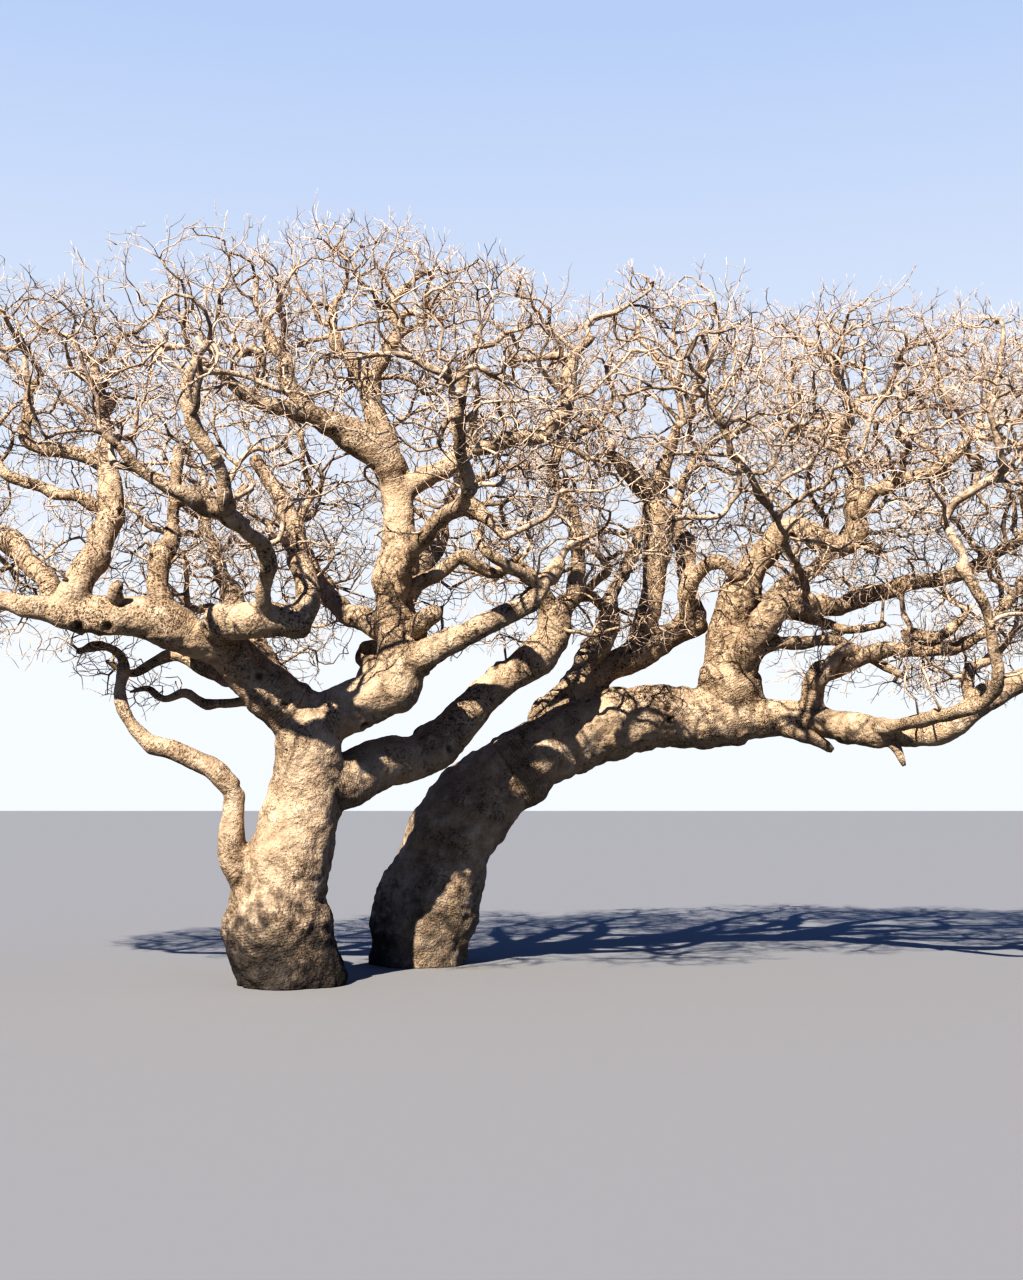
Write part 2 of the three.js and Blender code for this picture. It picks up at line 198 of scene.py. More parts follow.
# Boughs that show inside the twig masses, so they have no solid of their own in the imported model.
INNER = (
    Limb("up_left", "riser_left", 0.96, ((-2.05, -0.1, 5.75), (-2.15, 0, 6.3)), (0.18, 0.13, 0.08)),
    Limb("curl_left", "riser_left", 0.6, ((-2.35, -0.5, 4.85), (-2.8, -0.6, 4.95), (-3, -0.5, 5.4)),
         (0.15, 0.12, 0.1, 0.07)),
    Limb("up_centre_left", "bough_centre_left", 0.96, ((-0.12, -0.2, 5.97), (-0.13, -0.1, 6.24),
         (-0.37, 0.1, 6.6)), (0.22, 0.18, 0.15, 0.1)),
    Limb("out_centre_left", "bough_centre_left", 0.9, ((-0.5, -0.4, 5.85), (-1, -0.5, 6.2)),
         (0.18, 0.13, 0.08)),
    Limb("up_centre_top", "bough_centre_top", 0.96, ((0.3, 0.9, 6.68), (0.18, 0.9, 7.2)),
         (0.19, 0.14, 0.08)),
    Limb("hook", "bough_centre_top", 0.4, ((0.75, 0.3, 6.3), (1.02, 0.2, 6.65), (0.9, 0.3, 7),
         (1.12, 0.4, 7.3)), (0.2, 0.16, 0.14, 0.12, 0.07)),
    Limb("up_snake", "bough_snake", 0.97, ((2.72, 0.1, 5.85), (2.76, 0.3, 6.33), (3.02, 0.5, 6.7)),
         (0.16, 0.15, 0.13, 0.08)),
    Limb("loop_centre", "riser_centre", 0.45, ((1.44, -0.2, 4.62), (1.8, -0.5, 4.66), (2.1, -0.7, 4.3)),
         (0.2, 0.16, 0.14, 0.08)),
    Limb("up_thin", "stem_thin", 0.97, ((2.62, 1.6, 5.45), (2.72, 1.6, 5.75), (3.05, 1.7, 6)),
         (0.14, 0.12, 0.1, 0.07)),
    Limb("out_riser_right", "riser_right", 0.95, ((3.56, 2.2, 5.6), (3.22, 2, 5.85)), (0.24, 0.19, 0.11)),
    Limb("up_riser_right", "riser_right", 0.96, ((3.98, 2.3, 5.75), (4.1, 2.2, 6.2)), (0.22, 0.16, 0.1)),
    Limb("back_up_right", "riser_right_back", 0.96, ((4.35, 3.8, 5.9), (4.6, 3.7, 6.3)),
         (0.16, 0.12, 0.08)),
    Limb("up_far_right", "crook_far_right", 0.97, ((6.02, 1.7, 5.6), (5.9, 1.9, 5.95), (6.25, 2.1, 6.5)),
         (0.18, 0.15, 0.13, 0.08)),
    Limb("out_far_right", "crook_far_right", 0.9, ((6.3, 1.3, 5.3), (6.9, 1.1, 5.5), (7.3, 1, 5.9)),
         (0.18, 0.15, 0.11, 0.07)),
    Limb("out_bough_far", "bough_far_right", 0.95, ((8.2, 2.6, 4.85), (8.7, 2.8, 5.2)),
         (0.15, 0.11, 0.07)),
    Limb("up_front_left", "front_left", 0.95, ((-0.6, -2.7, 5), (-0.5, -2.7, 5.5)), (0.13, 0.11, 0.08)),
    Limb("out_front_left", "front_left", 0.6, ((-0.7, -2.4, 4.4), (-1.2, -2.6, 4.8)), (0.14, 0.12, 0.08)),
    Limb("up_front_middle", "front_middle", 0.95, ((1.7, -2.4, 5), (1.75, -2.6, 5.5)), (0.13, 0.11, 0.08)),
    Limb("low_back", "fork_left", 0.6, ((-0.95, 0.25, 3.12), (-1.34, 0.3, 3.28), (-1.72, 0.22, 3.08),
         (-1.95, 0.1, 3.2)), (0.2, 0.17, 0.13, 0.1, 0.06)),
    Limb("low_thin_back", "fork_left", 0.3, ((-0.95, 0.3, 2.81), (-1.16, 0.3, 2.9), (-1.38, 0.3, 2.83),
         (-1.55, 0.3, 2.93), (-1.75, 0.3, 2.9)), (0.12, 0.1, 0.09, 0.08, 0.07, 0.04)),
    Limb("knee_side", "knee_right", 0.15, ((5.24, 2.3, 3.9), (5.64, 2.3, 3.88), (6.1, 2.3, 3.78),
         (6.5, 2.3, 3.85)), (0.18, 0.16, 0.14, 0.11, 0.07)),
    Limb("knee_low", "knee_right", 0.08, ((5.02, 2, 3.5), (5.37, 2, 3.62), (5.85, 2, 3.6), (6.21, 2, 3.45),
         (6.6, 1.9, 3.5)), (0.17, 0.14, 0.12, 0.11, 0.09, 0.06)),
    Limb("knee_back", "knee_right", 0.3, ((5.1, 2.9, 3.75), (5.6, 3.1, 3.7), (6.3, 3.3, 3.9)),
         (0.18, 0.15, 0.12, 0.07)),
    Limb("stub_under", "bough_low_right", 0.93, ((6.3, 1.2, 2.35), (6.37, 1.17, 2.17)), (0.13, 0.12, 0.08)),
    Limb("stub_elbow", "bough_low_right", 0.16, ((5.55, 1.85, 2.5), (5.74, 1.8, 2.36)), (0.3, 0.2, 0.12)),
    Limb("stub_front", "bough_left", 0.62, ((-1.62, -0.9, 3.72), (-1.55, -0.95, 3.85)), (0.16, 0.13, 0.1)),
    Limb("stub_centre", "riser_centre", 0.05, ((1.3, -0.25, 3.6), (1.42, -0.4, 3.66)), (0.26, 0.2, 0.17)),
    Limb("up_front_right", "front_right", 0.95, ((4.3, -0.9, 5.1), (3.95, -1.2, 5.6)), (0.08, 0.065, 0.05)),
    Limb("up_back_left", "back_left", 0.95, ((-1.4, 2.4, 4.8), (-1.5, 2.6, 5.5)), (0.2, 0.15, 0.09)),
    Limb("up_back_middle", "back_middle", 0.95, ((1.3, 3, 5.1), (1.5, 3.3, 5.8)), (0.19, 0.14, 0.09)),
    Limb("up_back_right", "back_right", 0.95, ((3.8, 4.2, 5.2), (4, 4.4, 5.8)), (0.16, 0.13, 0.08)),
    Limb("up_back_far", "back_far_right", 0.95, ((6.4, 4, 5.2), (6.5, 4.1, 5.7)), (0.17, 0.13, 0.08)),
    Limb("loop_right", "bough_right", 0.9, ((4.28, 2.3, 4.42), (4.5, 2.1, 4.56), (4.8, 2.1, 4.4),
         (4.95, 2.1, 4.68)), (0.2, 0.18, 0.16, 0.13, 0.08)),
    Limb("mess_low", "arch_low_right", 0.1, ((5.62, 1.7, 3.2), (5.85, 1.6, 3.44), (6.2, 1.7, 3.32),
         (6.5, 1.5, 3.15)), (0.17, 0.15, 0.13, 0.11, 0.07)),
    Limb("mess_high", "arch_low_right", 0.55, ((6.5, 1.4, 3.65), (6.85, 1.2, 3.6), (7.1, 1.0, 3.85)),
         (0.14, 0.13, 0.1, 0.06)),
    Limb("mess_far", "tip_low_right", 0.45, ((7.0, 0.9, 3.15), (7.3, 1.0, 3.3), (7.5, 0.9, 3.6)),
         (0.15, 0.13, 0.1, 0.06)),
    Limb("out_left_high", "riser_left", 0.9, ((-2.3, -0.35, 5.25), (-2.65, -0.35, 5.35),
         (-2.72, -0.3, 5.75), (-2.55, -0.3, 6.1)), (0.15, 0.14, 0.13, 0.1, 0.06)),
    Limb("cross_left", "riser_mid_left", 0.7, ((-0.98, -0.35, 4.85), (-0.72, -0.25, 4.68),
         (-0.5, -0.2, 4.95)), (0.13, 0.12, 0.1, 0.06)),
    Limb("tangle_centre", "riser_centre", 0.3, ((1.35, -0.15, 4.02), (1.62, -0.3, 4.2),
         (1.92, -0.2, 4.04), (2.25, -0.3, 4.22)), (0.2, 0.16, 0.14, 0.11, 0.07)),
    Limb("tangle_reach", "reach_right", 0.75, ((2.2, -0.55, 4.0), (1.95, -0.7, 4.16), (1.8, -0.6, 4.42)),
         (0.15, 0.12, 0.1, 0.06)),
    Limb("tangle_link", "link_rising", 0.9, ((2.42, 0.95, 4.1), (2.2, 0.8, 4.32), (1.98, 0.7, 4.12)),
         (0.2, 0.15, 0.12, 0.07)),
    Limb("tangle_riser", "bough_right", 0.4, ((3.3, 2.0, 3.9), (3.05, 1.7, 4.15), (3.22, 1.5, 4.4),
         (2.98, 1.4, 4.62)), (0.2, 0.16, 0.13, 0.1, 0.06)),
)


@dataclass
class Line:
    """A middle line with a radius at every point, and the length walked up to it."""

    points: np.ndarray
    radii: np.ndarray
    walked: np.ndarray


def unit(vectors: np.ndarray) -> np.ndarray:
    """Args: vectors: rows of x, y, z. Returns: the rows, each divided by its length."""
    return vectors / np.maximum(np.linalg.norm(vectors, axis=-1, keepdims=True), 1e-9)


def hump(at: np.ndarray, middle: float, width: float) -> np.ndarray:
    """Args: at: places along. middle, width: the hump's. Returns: 1 at the middle, 0 far from it."""
    return np.exp(-(((at - middle) / width) ** 2))


def lattice_noise(places: np.ndarray, size: float, seed: int) -> np.ndarray:
    """Smooth noise from -1 to 1: random values on a grid of cells, eased between the cell corners.

    Args:
        places: rows of x, y, z.
        size: the side of one cell.
        seed: picks the pattern.

    Returns:
        One value for each row.
    """
    at = places / size + seed * SEED_SHIFT
    low = np.floor(at).astype(np.int64)
    ease = at - low
    ease = ease * ease * (3 - 2 * ease)
    total = np.zeros(len(places))
    for corner in range(8):
        bits = np.array([corner & 1, corner >> 1 & 1, corner >> 2 & 1])
        cell = low + bits
        x, y, z = (cell[:, k] * AXIS_MIX[k] for k in range(3))
        mixed = x ^ y ^ z ^ seed * SEED_MIX
        mixed = (mixed ^ mixed >> 13) * LAST_MIX
        value = (mixed >> 8 & 0xFFFF) / 32767.5 - 1
        weight = np.prod(np.where(bits == 1, ease, 1 - ease), axis=1)
        total += weight * value
    return total


def wander(places: np.ndarray, size: float, seed: int) -> np.ndarray:
    """Returns: a smooth field of directions up to about one long, made of three noises."""
    return np.stack([lattice_noise(places, size, seed + k) for k in range(3)], axis=1)


def smooth_course(way: np.ndarray, spacing: float) -> np.ndarray:
    """A smooth course through the way points, as evenly spaced points.

    Each span is a cubic whose slopes come from its neighbours, weighted by the root of the
    distances between the points, and the spans are then walked at even steps.

    Args:
        way: the way points.
        spacing: the distance between points of the answer, about.

    Returns:
        The points of the course.
    """
    first = 2 * way[0] - way[1]
    last = 2 * way[-1] - way[-2]
    p = np.vstack([first, way, last])
    share = np.linspace(0, 1, SPAN_POINTS)[:, None]
    parts = []
    for i in range(1, len(p) - 2):
        gaps = [max(np.linalg.norm(p[i + k] - p[i + k - 1]) ** 0.5, 1e-4) for k in range(3)]
        lead = (p[i] - p[i - 1]) / gaps[0] - (p[i + 1] - p[i - 1]) / (gaps[0] + gaps[1])
        lead = (lead + (p[i + 1] - p[i]) / gaps[1]) * gaps[1]
        trail = (p[i + 1] - p[i]) / gaps[1] - (p[i + 2] - p[i]) / (gaps[1] + gaps[2])
        trail = (trail + (p[i + 2] - p[i + 1]) / gaps[2]) * gaps[1]
        square = -3 * p[i] + 3 * p[i + 1] - 2 * lead - trail
        cube = 2 * p[i] - 2 * p[i + 1] + lead + trail
        parts.append((p[i] + share * (lead + share * (square + share * cube)))[:-1])
    dense = np.vstack([*parts, way[-1:]])
    walked = np.concatenate([[0], np.cumsum(np.linalg.norm(np.diff(dense, axis=0), axis=1))])
    count = max(4, int(round(walked[-1] / spacing)) + 1)
    at = np.linspace(0, walked[-1], count)
    return np.stack([np.interp(at, walked, dense[:, k]) for k in range(3)], axis=1)


def widths_along(values: tuple, count: int) -> np.ndarray:
    """Widths at even shares of a limb, eased between the given ones.

    Args:
        values: the widths, spaced evenly.
        count: how many are wanted.

    Returns:
        The widths.
    """
    at = np.linspace(0, len(values) - 1, count)
    low = np.minimum(at.astype(int), len(values) - 2)
    ease = at - low
    ease = ease * ease * (3 - 2 * ease)
    given = np.array(values, float)
    return given[low] * (1 - ease) + given[low + 1] * ease


@dataclass
class Skeleton:
    """The middle lines of all the limbs, worked out from their plans.

    spacing is the distance between points. gnarl is the sideways bend of a limb in its own radii
    and kink the same in metres, for the limbs under the bark and for the inner boughs. Bends fade
    out in the last of end_parts even parts at both ends. Limbs thicker than kink_gone times slim
    don't kink. The bends are bend_size long, and the finer ones, finer_size long, a share of
    them. A trunk bends by the share trunk_bend, and a limb by least_bend below
    straight_to and more over the next bending_over metres. knobs is the number of swellings on
    each metre, and knob_height their height in radii, in places, lengths and shares that differ.
    """

    spacing: float = 0.04
    gnarl: float = 0.16
    inner_gnarl: float = 0.4
    kink: float = 0.05
    inner_kink: float = 0.025
    knobs: float = 2.2
    knob_height: float = 0.22
    knob_places: tuple = (0.08, 1)
    knob_lengths: tuple = (0.05, 0.15)
    knob_shares: tuple = (0.3, 1)
    most_swollen: float = 1.3
    slim: float = 0.1
    kink_gone: float = 1.9
    end_parts: int = 5
    bend_size: float = 0.45
    finer_size: float = 0.2
    finer_bend: float = 0.6
    trunk_bend: float = 0.25
    straight_to: float = 1.7
    bending_over: float = 1.4
    least_bend: float = 0.15

    def __post_init__(self) -> None:
        """Works out every line, parents first."""
        self.courses: dict[str, np.ndarray] = {}
        self.lines: dict[str, Line] = {}
        self.plans: dict[str, Limb] = {}
        for number, plan in enumerate((*TRUNKS, *LIMBS, *INNER)):
            self._add(plan, number)

    def _add(self, plan: Limb, number: int) -> None:
        """Works out one limb's line.

        Args:
            plan: the limb.
            number: its place in the list, which seeds its gnarls.
        """
        way = [np.array(p, float) for p in plan.way]
        if plan.on:
            parent = self.courses[plan.on]
            way.insert(0, parent[int(round(plan.at * (len(parent) - 1)))])
        course = smooth_course(np.array(way), self.spacing)
        self.courses[plan.name] = course
        self.plans[plan.name] = plan
        radii = widths_along(plan.thick, len(course)) / 2
        share = np.linspace(0, 1, len(course))
        fade = np.clip(np.minimum(share, 1 - share) * self.end_parts, 0, 1)
        calm = 1.0 if plan.on else self.trunk_bend
        gnarl, kink = self.inner_gnarl, self.inner_kink
        if plan not in INNER:
            kinked = np.clip(self.kink_gone - radii.mean() / self.slim, 0, 1)
            gnarl, kink = self.gnarl, self.kink * kinked
        bend = wander(course, self.bend_size, Pattern.LIMB_BEND + number)
        bend = bend + self.finer_bend * wander(course, self.finer_size, Pattern.LIMB_KINK + number)
        rise = np.clip((course[:, 2] - self.straight_to) / self.bending_over, self.least_bend, 1)
        points = course + bend * (fade * (radii * gnarl + kink * rise) * calm)[:, None]
        rng = np.random.default_rng(SEED + number)
        length = self.spacing * len(course)
        knob = np.zeros(len(course))
        for _ in range(int(length * self.knobs)):
            middle, reach = rng.uniform(*self.knob_places) * length, rng.uniform(*self.knob_lengths)
            knob += rng.uniform(*self.knob_shares) * hump(share * length, middle, reach)
        swollen = radii * (1 + self.knob_height * calm * rise * np.minimum(knob, self.most_swollen))
        self.lines[plan.name] = Line(points, swollen, share * length)

    def side_of(self, name: str) -> Side:
        """Which trunk a limb grows from.

        Args:
            name: the limb's name.

        Returns:
            The trunk's side.
        """
        while self.plans[name].on:
            name = self.plans[name].on
        return Side(name)


@dataclass
class Faces:
    """A mesh as arrays: places, four-sided faces, end faces, and a tone for each face."""

    places: np.ndarray
    quads: np.ndarray
    ends: np.ndarray
    tones: np.ndarray

    def triangles(self) -> int:
        """Returns: how many triangles the faces make."""
        return 2 * len(self.quads) + len(self.ends) * (self.ends.shape[1] - 2)


@dataclass
class Chains:
    """Many chains of points, one after another, with a radius and a tone at each point."""

    points: np.ndarray
    radii: np.ndarray
    tones: np.ndarray
    starts: np.ndarray
    lengths: np.ndarray

    def picked(self, wanted: np.ndarray) -> "Chains":
        """Some of the chains.

        Args:
            wanted: which chains.

        Returns:
            Those chains.
        """
        count = self.lengths[wanted]
        begin = np.cumsum(count) - count
        pick = np.arange(count.sum()) - np.repeat(begin, count) + np.repeat(self.starts[wanted], count)
        return Chains(self.points[pick], self.radii[pick], self.tones[pick], begin, count)

    def refined(self) -> "Chains":
        """The chains with a new point in every step, eased between its four neighbours.

        A new point is nine sixteenths of the two beside it less one sixteenth of the next two.

        Returns:
            The finer chains.
        """
        total = len(self.points)
        chain = np.repeat(np.arange(len(self.starts)), self.lengths)
        index = np.arange(total)
        first, last = self.starts[chain], (self.starts + self.lengths - 1)[chain]
        a = index[index < last]
        before, after = np.maximum(a - 1, first[a]), np.minimum(a + 2, last[a])
        values = np.column_stack([self.points, self.radii, self.tones])
        middle = (9 * (values[a] + values[a + 1]) - values[before] - values[after]) / 16
        middle[:, 3:] = (values[a, 3:] + values[a + 1, 3:]) / 2
        made = np.empty((2 * total - len(self.starts), 5))
        place = 2 * index - chain
        made[place] = values
        made[place[a] + 1] = middle
        starts = 2 * self.starts - np.arange(len(self.starts))
        return Chains(made[:, :3], made[:, 3], made[:, 4], starts, 2 * self.lengths - 1)

    def across(self) -> tuple:
        """Two directions across each chain, carried along it without twist.

        Each chain's first pair is square to its first step. Every next pair is the one before,
        with what lies along the new direction taken out.

        Returns:
            The two directions for every point.
        """
        ahead = np.empty_like(self.points)
        ahead[:-1] = self.points[1:] - self.points[:-1]
        ends = self.starts + self.lengths - 1
        ahead[ends] = ahead[ends - 1]
        behind = np.empty_like(ahead)
        behind[1:] = ahead[:-1]
        behind[self.starts] = ahead[self.starts]
        along = unit(unit(ahead) + unit(behind))
        sideways = np.empty_like(self.points)
        first = along[self.starts]
        helper = np.where(np.abs(first[:, 2:]) < 0.8, [[0.0, 0.0, 1.0]], [[1.0, 0.0, 0.0]])
        carried = unit(np.cross(first, helper))
        sideways[self.starts] = carried
        order = np.argsort(-self.lengths)
        carried = carried[order]
        for step in range(1, int(self.lengths.max())):
            count = int(np.searchsorted(-self.lengths[order], -step, side="left"))
            at = self.starts[order[:count]] + step
            carried = carried[:count]
            carried = unit(carried - along[at] * np.sum(carried * along[at], axis=1, keepdims=True))
            sideways[at] = carried
        return sideways, np.cross(along, sideways)

    def swept(self, sides: int) -> Faces:
        """Closed tubes along the chains: each point's ring is the middle plus radius times a turn.

        Args:
            sides: how many sides a tube has.

        Returns:
            The tubes' faces, facing outward.
        """
        sideways, upward = self.across()
        turn = np.arange(sides) * 2 * math.pi / sides
        ring = np.cos(turn)[None, :, None] * sideways[:, None] + np.sin(turn)[None, :, None] * upward[:, None]
        places = (self.points[:, None] + ring * self.radii[:, None, None]).reshape(-1, 3)
        ends = self.starts + self.lengths - 1
        going_on = np.ones(len(self.points), bool)
        going_on[ends] = False
        base = np.flatnonzero(going_on)[:, None] * sides
        here = np.arange(sides)[None]
        after = (np.arange(sides)[None] + 1) % sides
        quads = np.stack([base + here, base + after, base + sides + after, base + sides + here], axis=2)
        low = self.starts[:, None] * sides + np.arange(sides)[None, ::-1]
        high = ends[:, None] * sides + np.arange(sides)[None]
        tones = [np.repeat(self.tones[going_on], sides), self.tones[self.starts], self.tones[ends]]
        return Faces(places, quads.reshape(-1, 4), np.vstack([low, high]), np.concatenate(tones))


def joined(parts: list) -> Chains:
    """Lines put one after another as chains.

    Args:
        parts: the lines.

    Returns:
        One set of chains with a tone of zero.
    """
    lengths = np.array([len(line.points) for line in parts])
    points = np.vstack([line.points for line in parts])
    radii = np.concatenate([line.radii for line in parts])
    return Chains(points, radii, np.zeros(len(points)), np.cumsum(lengths) - lengths, lengths)


def make_piece(name: str, faces: Faces, finishes: list) -> bpy.types.Object:
    """Makes a smooth-shaded object of the faces.

    Args:
        name: the piece's name.
        faces: its mesh as arrays.
        finishes: its materials; a face's tone from 0 to 1 picks one of them.

    Returns:
        The new object, at the origin.
    """
    mesh = bpy.data.meshes.new(name)
    width = faces.ends.shape[1]
    corners = np.concatenate([faces.quads.ravel(), faces.ends.ravel()]).astype(np.int32)
    begins = np.concatenate([
        np.arange(len(faces.quads)) * 4,
        len(faces.quads) * 4 + np.arange(len(faces.ends)) * width,
    ]).astype(np.int32)
    mesh.vertices.add(len(faces.places))
    mesh.vertices.foreach_set("co", faces.places.astype(np.float32).ravel())
    mesh.loops.add(len(corners))
    mesh.loops.foreach_set("vertex_index", corners)
    mesh.polygons.add(len(begins))
    mesh.polygons.foreach_set("loop_start", begins)
    mesh.polygons.foreach_set("use_smooth", np.ones(len(begins), bool))
    for finish in finishes:
        mesh.materials.append(finish)
    if len(finishes) > 1:
        picked = np.clip(faces.tones * len(finishes), 0, len(finishes) - 1).astype(np.int32)
        mesh.polygons.foreach_set("material_index", picked)
    mesh.update(calc_edges=True)
    piece = bpy.data.objects.new(name, mesh)
    bpy.context.scene.collection.objects.link(piece)
    return piece


def keep_values(piece: bpy.types.Object, name: str, values: np.ndarray) -> None:
    """Args: piece: the piece. name: an attribute of its mesh. values: one for each place."""
    attribute = piece.data.attributes.new(name, "FLOAT", "POINT")
    attribute.data.foreach_set("value", values.astype(np.float32))


class Sock:
    """A shader value that can be added, subtracted and multiplied like a number."""

    def __init__(self, nodes: "Nodes", socket: bpy.types.NodeSocket) -> None:
        """Args: nodes: the tree being made. socket: the node socket that gives the value."""
        self.nodes = nodes
        self.socket = socket

    def maths(self, operation: str, *others: object) -> "Sock":
        """Args: operation: a Math node's. others: its other values. Returns: the result."""
        return self.nodes.node("ShaderNodeMath", {"operation": operation}, self, *others)

    def __add__(self, other: object) -> "Sock":
        """Args: other: what to add. Returns: the sum."""
        return self.maths("ADD", other)

    __radd__ = __add__

    def __mul__(self, other: object) -> "Sock":
        """Args: other: what to multiply by. Returns: the product."""
        return self.maths("MULTIPLY", other)

    __rmul__ = __mul__

    def __sub__(self, other: object) -> "Sock":
        """Args: other: what to take away. Returns: the difference."""
        return self.maths("SUBTRACT", other)

    def __rsub__(self, other: object) -> "Sock":
        """Args: other: what this is taken from. Returns: the difference."""
        return self.nodes.node("ShaderNodeMath", {"operation": "SUBTRACT"}, other, self)

    def ramp(self, low: float, high: float) -> "Sock":
        """Args: low: what becomes 0. high: what becomes 1. Returns: the eased share between."""
        settings = {"interpolation_type": "SMOOTHSTEP"}
        return self.nodes.node("ShaderNodeMapRange", settings, self, low, high, 0.0, 1.0)

    def between(self, at_zero: float, at_one: float) -> "Sock":
        """Args: at_zero: the value for 0. at_one: the value for 1. Returns: the value for this."""
        return self * (at_one - at_zero) + at_zero


class Nodes:
    """A node tree being made, of a material or of the air."""

    def __init__(self, tree: bpy.types.NodeTree) -> None:
        """Args: tree: the node tree."""
        self.tree = tree

    def put(self, socket: bpy.types.NodeSocket, value: object) -> None:
        """Sets or links an input.

        Args:
            socket: the input.
            value: a number, a colour or another value.
        """
        if isinstance(value, Sock):
            self.tree.links.new(value.socket, socket)
        else:
            socket.default_value = value

    def node(self, kind: str, settings: dict, *values: object, out: object = 0) -> Sock:
        """Adds a node.

        Args:
            kind: the node's type.
            settings: its properties.
            values: its inputs in order; None leaves one as it is.
            out: which output is wanted.

        Returns:
            That output.
        """
        made = self.tree.nodes.new(kind)
        for key, value in settings.items():
            setattr(made, key, value)
        for socket, value in zip(made.inputs, values):
            if value is not None:
                self.put(socket, value)
        return Sock(self, made.outputs[out])

    def mix(self, share: object, first: object, second: object) -> Sock:
        """Mixes two colours.

        Args:
            share: how much of the second.
            first: the first colour.
            second: the second colour.

        Returns:
            The mixed colour.
        """
        made = self.tree.nodes.new("ShaderNodeMix")
        made.data_type = "RGBA"
        self.put(made.inputs["Factor"], share)
        for socket, value in ((made.inputs[6], first), (made.inputs[7], second)):
            self.put(socket, value if isinstance(value, Sock) else (*value, 1.0))
        return Sock(self, made.outputs[2])


class Paint(Nodes):
    """A material being made of nodes."""

    def __init__(self, name: str, roughness: float, shine: float = 0.25) -> None:
        """Starts the material.

        Args:
            name: its name.
            roughness: its plain roughness.
            shine: how much of the light it mirrors.
        """
        self.material = bpy.data.materials.new(name)
        self.material.use_nodes = True
        super().__init__(self.material.node_tree)
        self.shader = self.tree.nodes["Principled BSDF"]
        self.shader.inputs["Roughness"].default_value = roughness
        self.shader.inputs["Specular IOR Level"].default_value = shine

    def place(self) -> Sock:
        """Returns: the place on the surface, in the object's own frame."""
        return self.node("ShaderNodeTexCoord", {}, out="Object")

    def noise(self, scale: float, detail: float, rough: float) -> Sock:
        """Args: scale: patches to the metre. detail, rough: finer layers. Returns: cloudy noise."""
        return self.node("ShaderNodeTexNoise", {}, self.place(), None, scale, detail, rough)

    def cells(self, scale: float, feature: str) -> Sock:
        """Args: scale: cells to the metre. feature: what is measured. Returns: the distance."""
        return self.node("ShaderNodeTexVoronoi", {"feature": feature}, self.place(), None, scale)

    def attribute(self, name: str) -> Sock:
        """Args: name: an attribute of the mesh. Returns: its value."""
        return self.node("ShaderNodeAttribute", {"attribute_name": name}, out="Fac")

    def bump(self, height: Sock, distance: float, under: object = None) -> Sock:
        """Turns a height into a normal.

        Args:
            height: the height from 0 to 1.
            distance: the depth of a height of 1.
            under: the normal beneath.

        Returns:
            The normal.
        """
        made = self.tree.nodes.new("ShaderNodeBump")
        made.inputs["Distance"].default_value = distance
        made.inputs["Strength"].default_value = 1.0
        self.put(made.inputs["Height"], height)
        if under is not None:
            self.put(made.inputs["Normal"], under)
        return Sock(self, made.outputs["Normal"])


@dataclass(frozen=True)
class Layer:
    """One layer of colour over a noise: where it starts, where it is full, and how much shows."""

    start: float
    full: float
    share: float

    def over(self, noise: Sock) -> Sock:
        """Args: noise: what the layer follows. Returns: how much of its colour shows."""
        return noise.ramp(self.start, self.full) * self.share


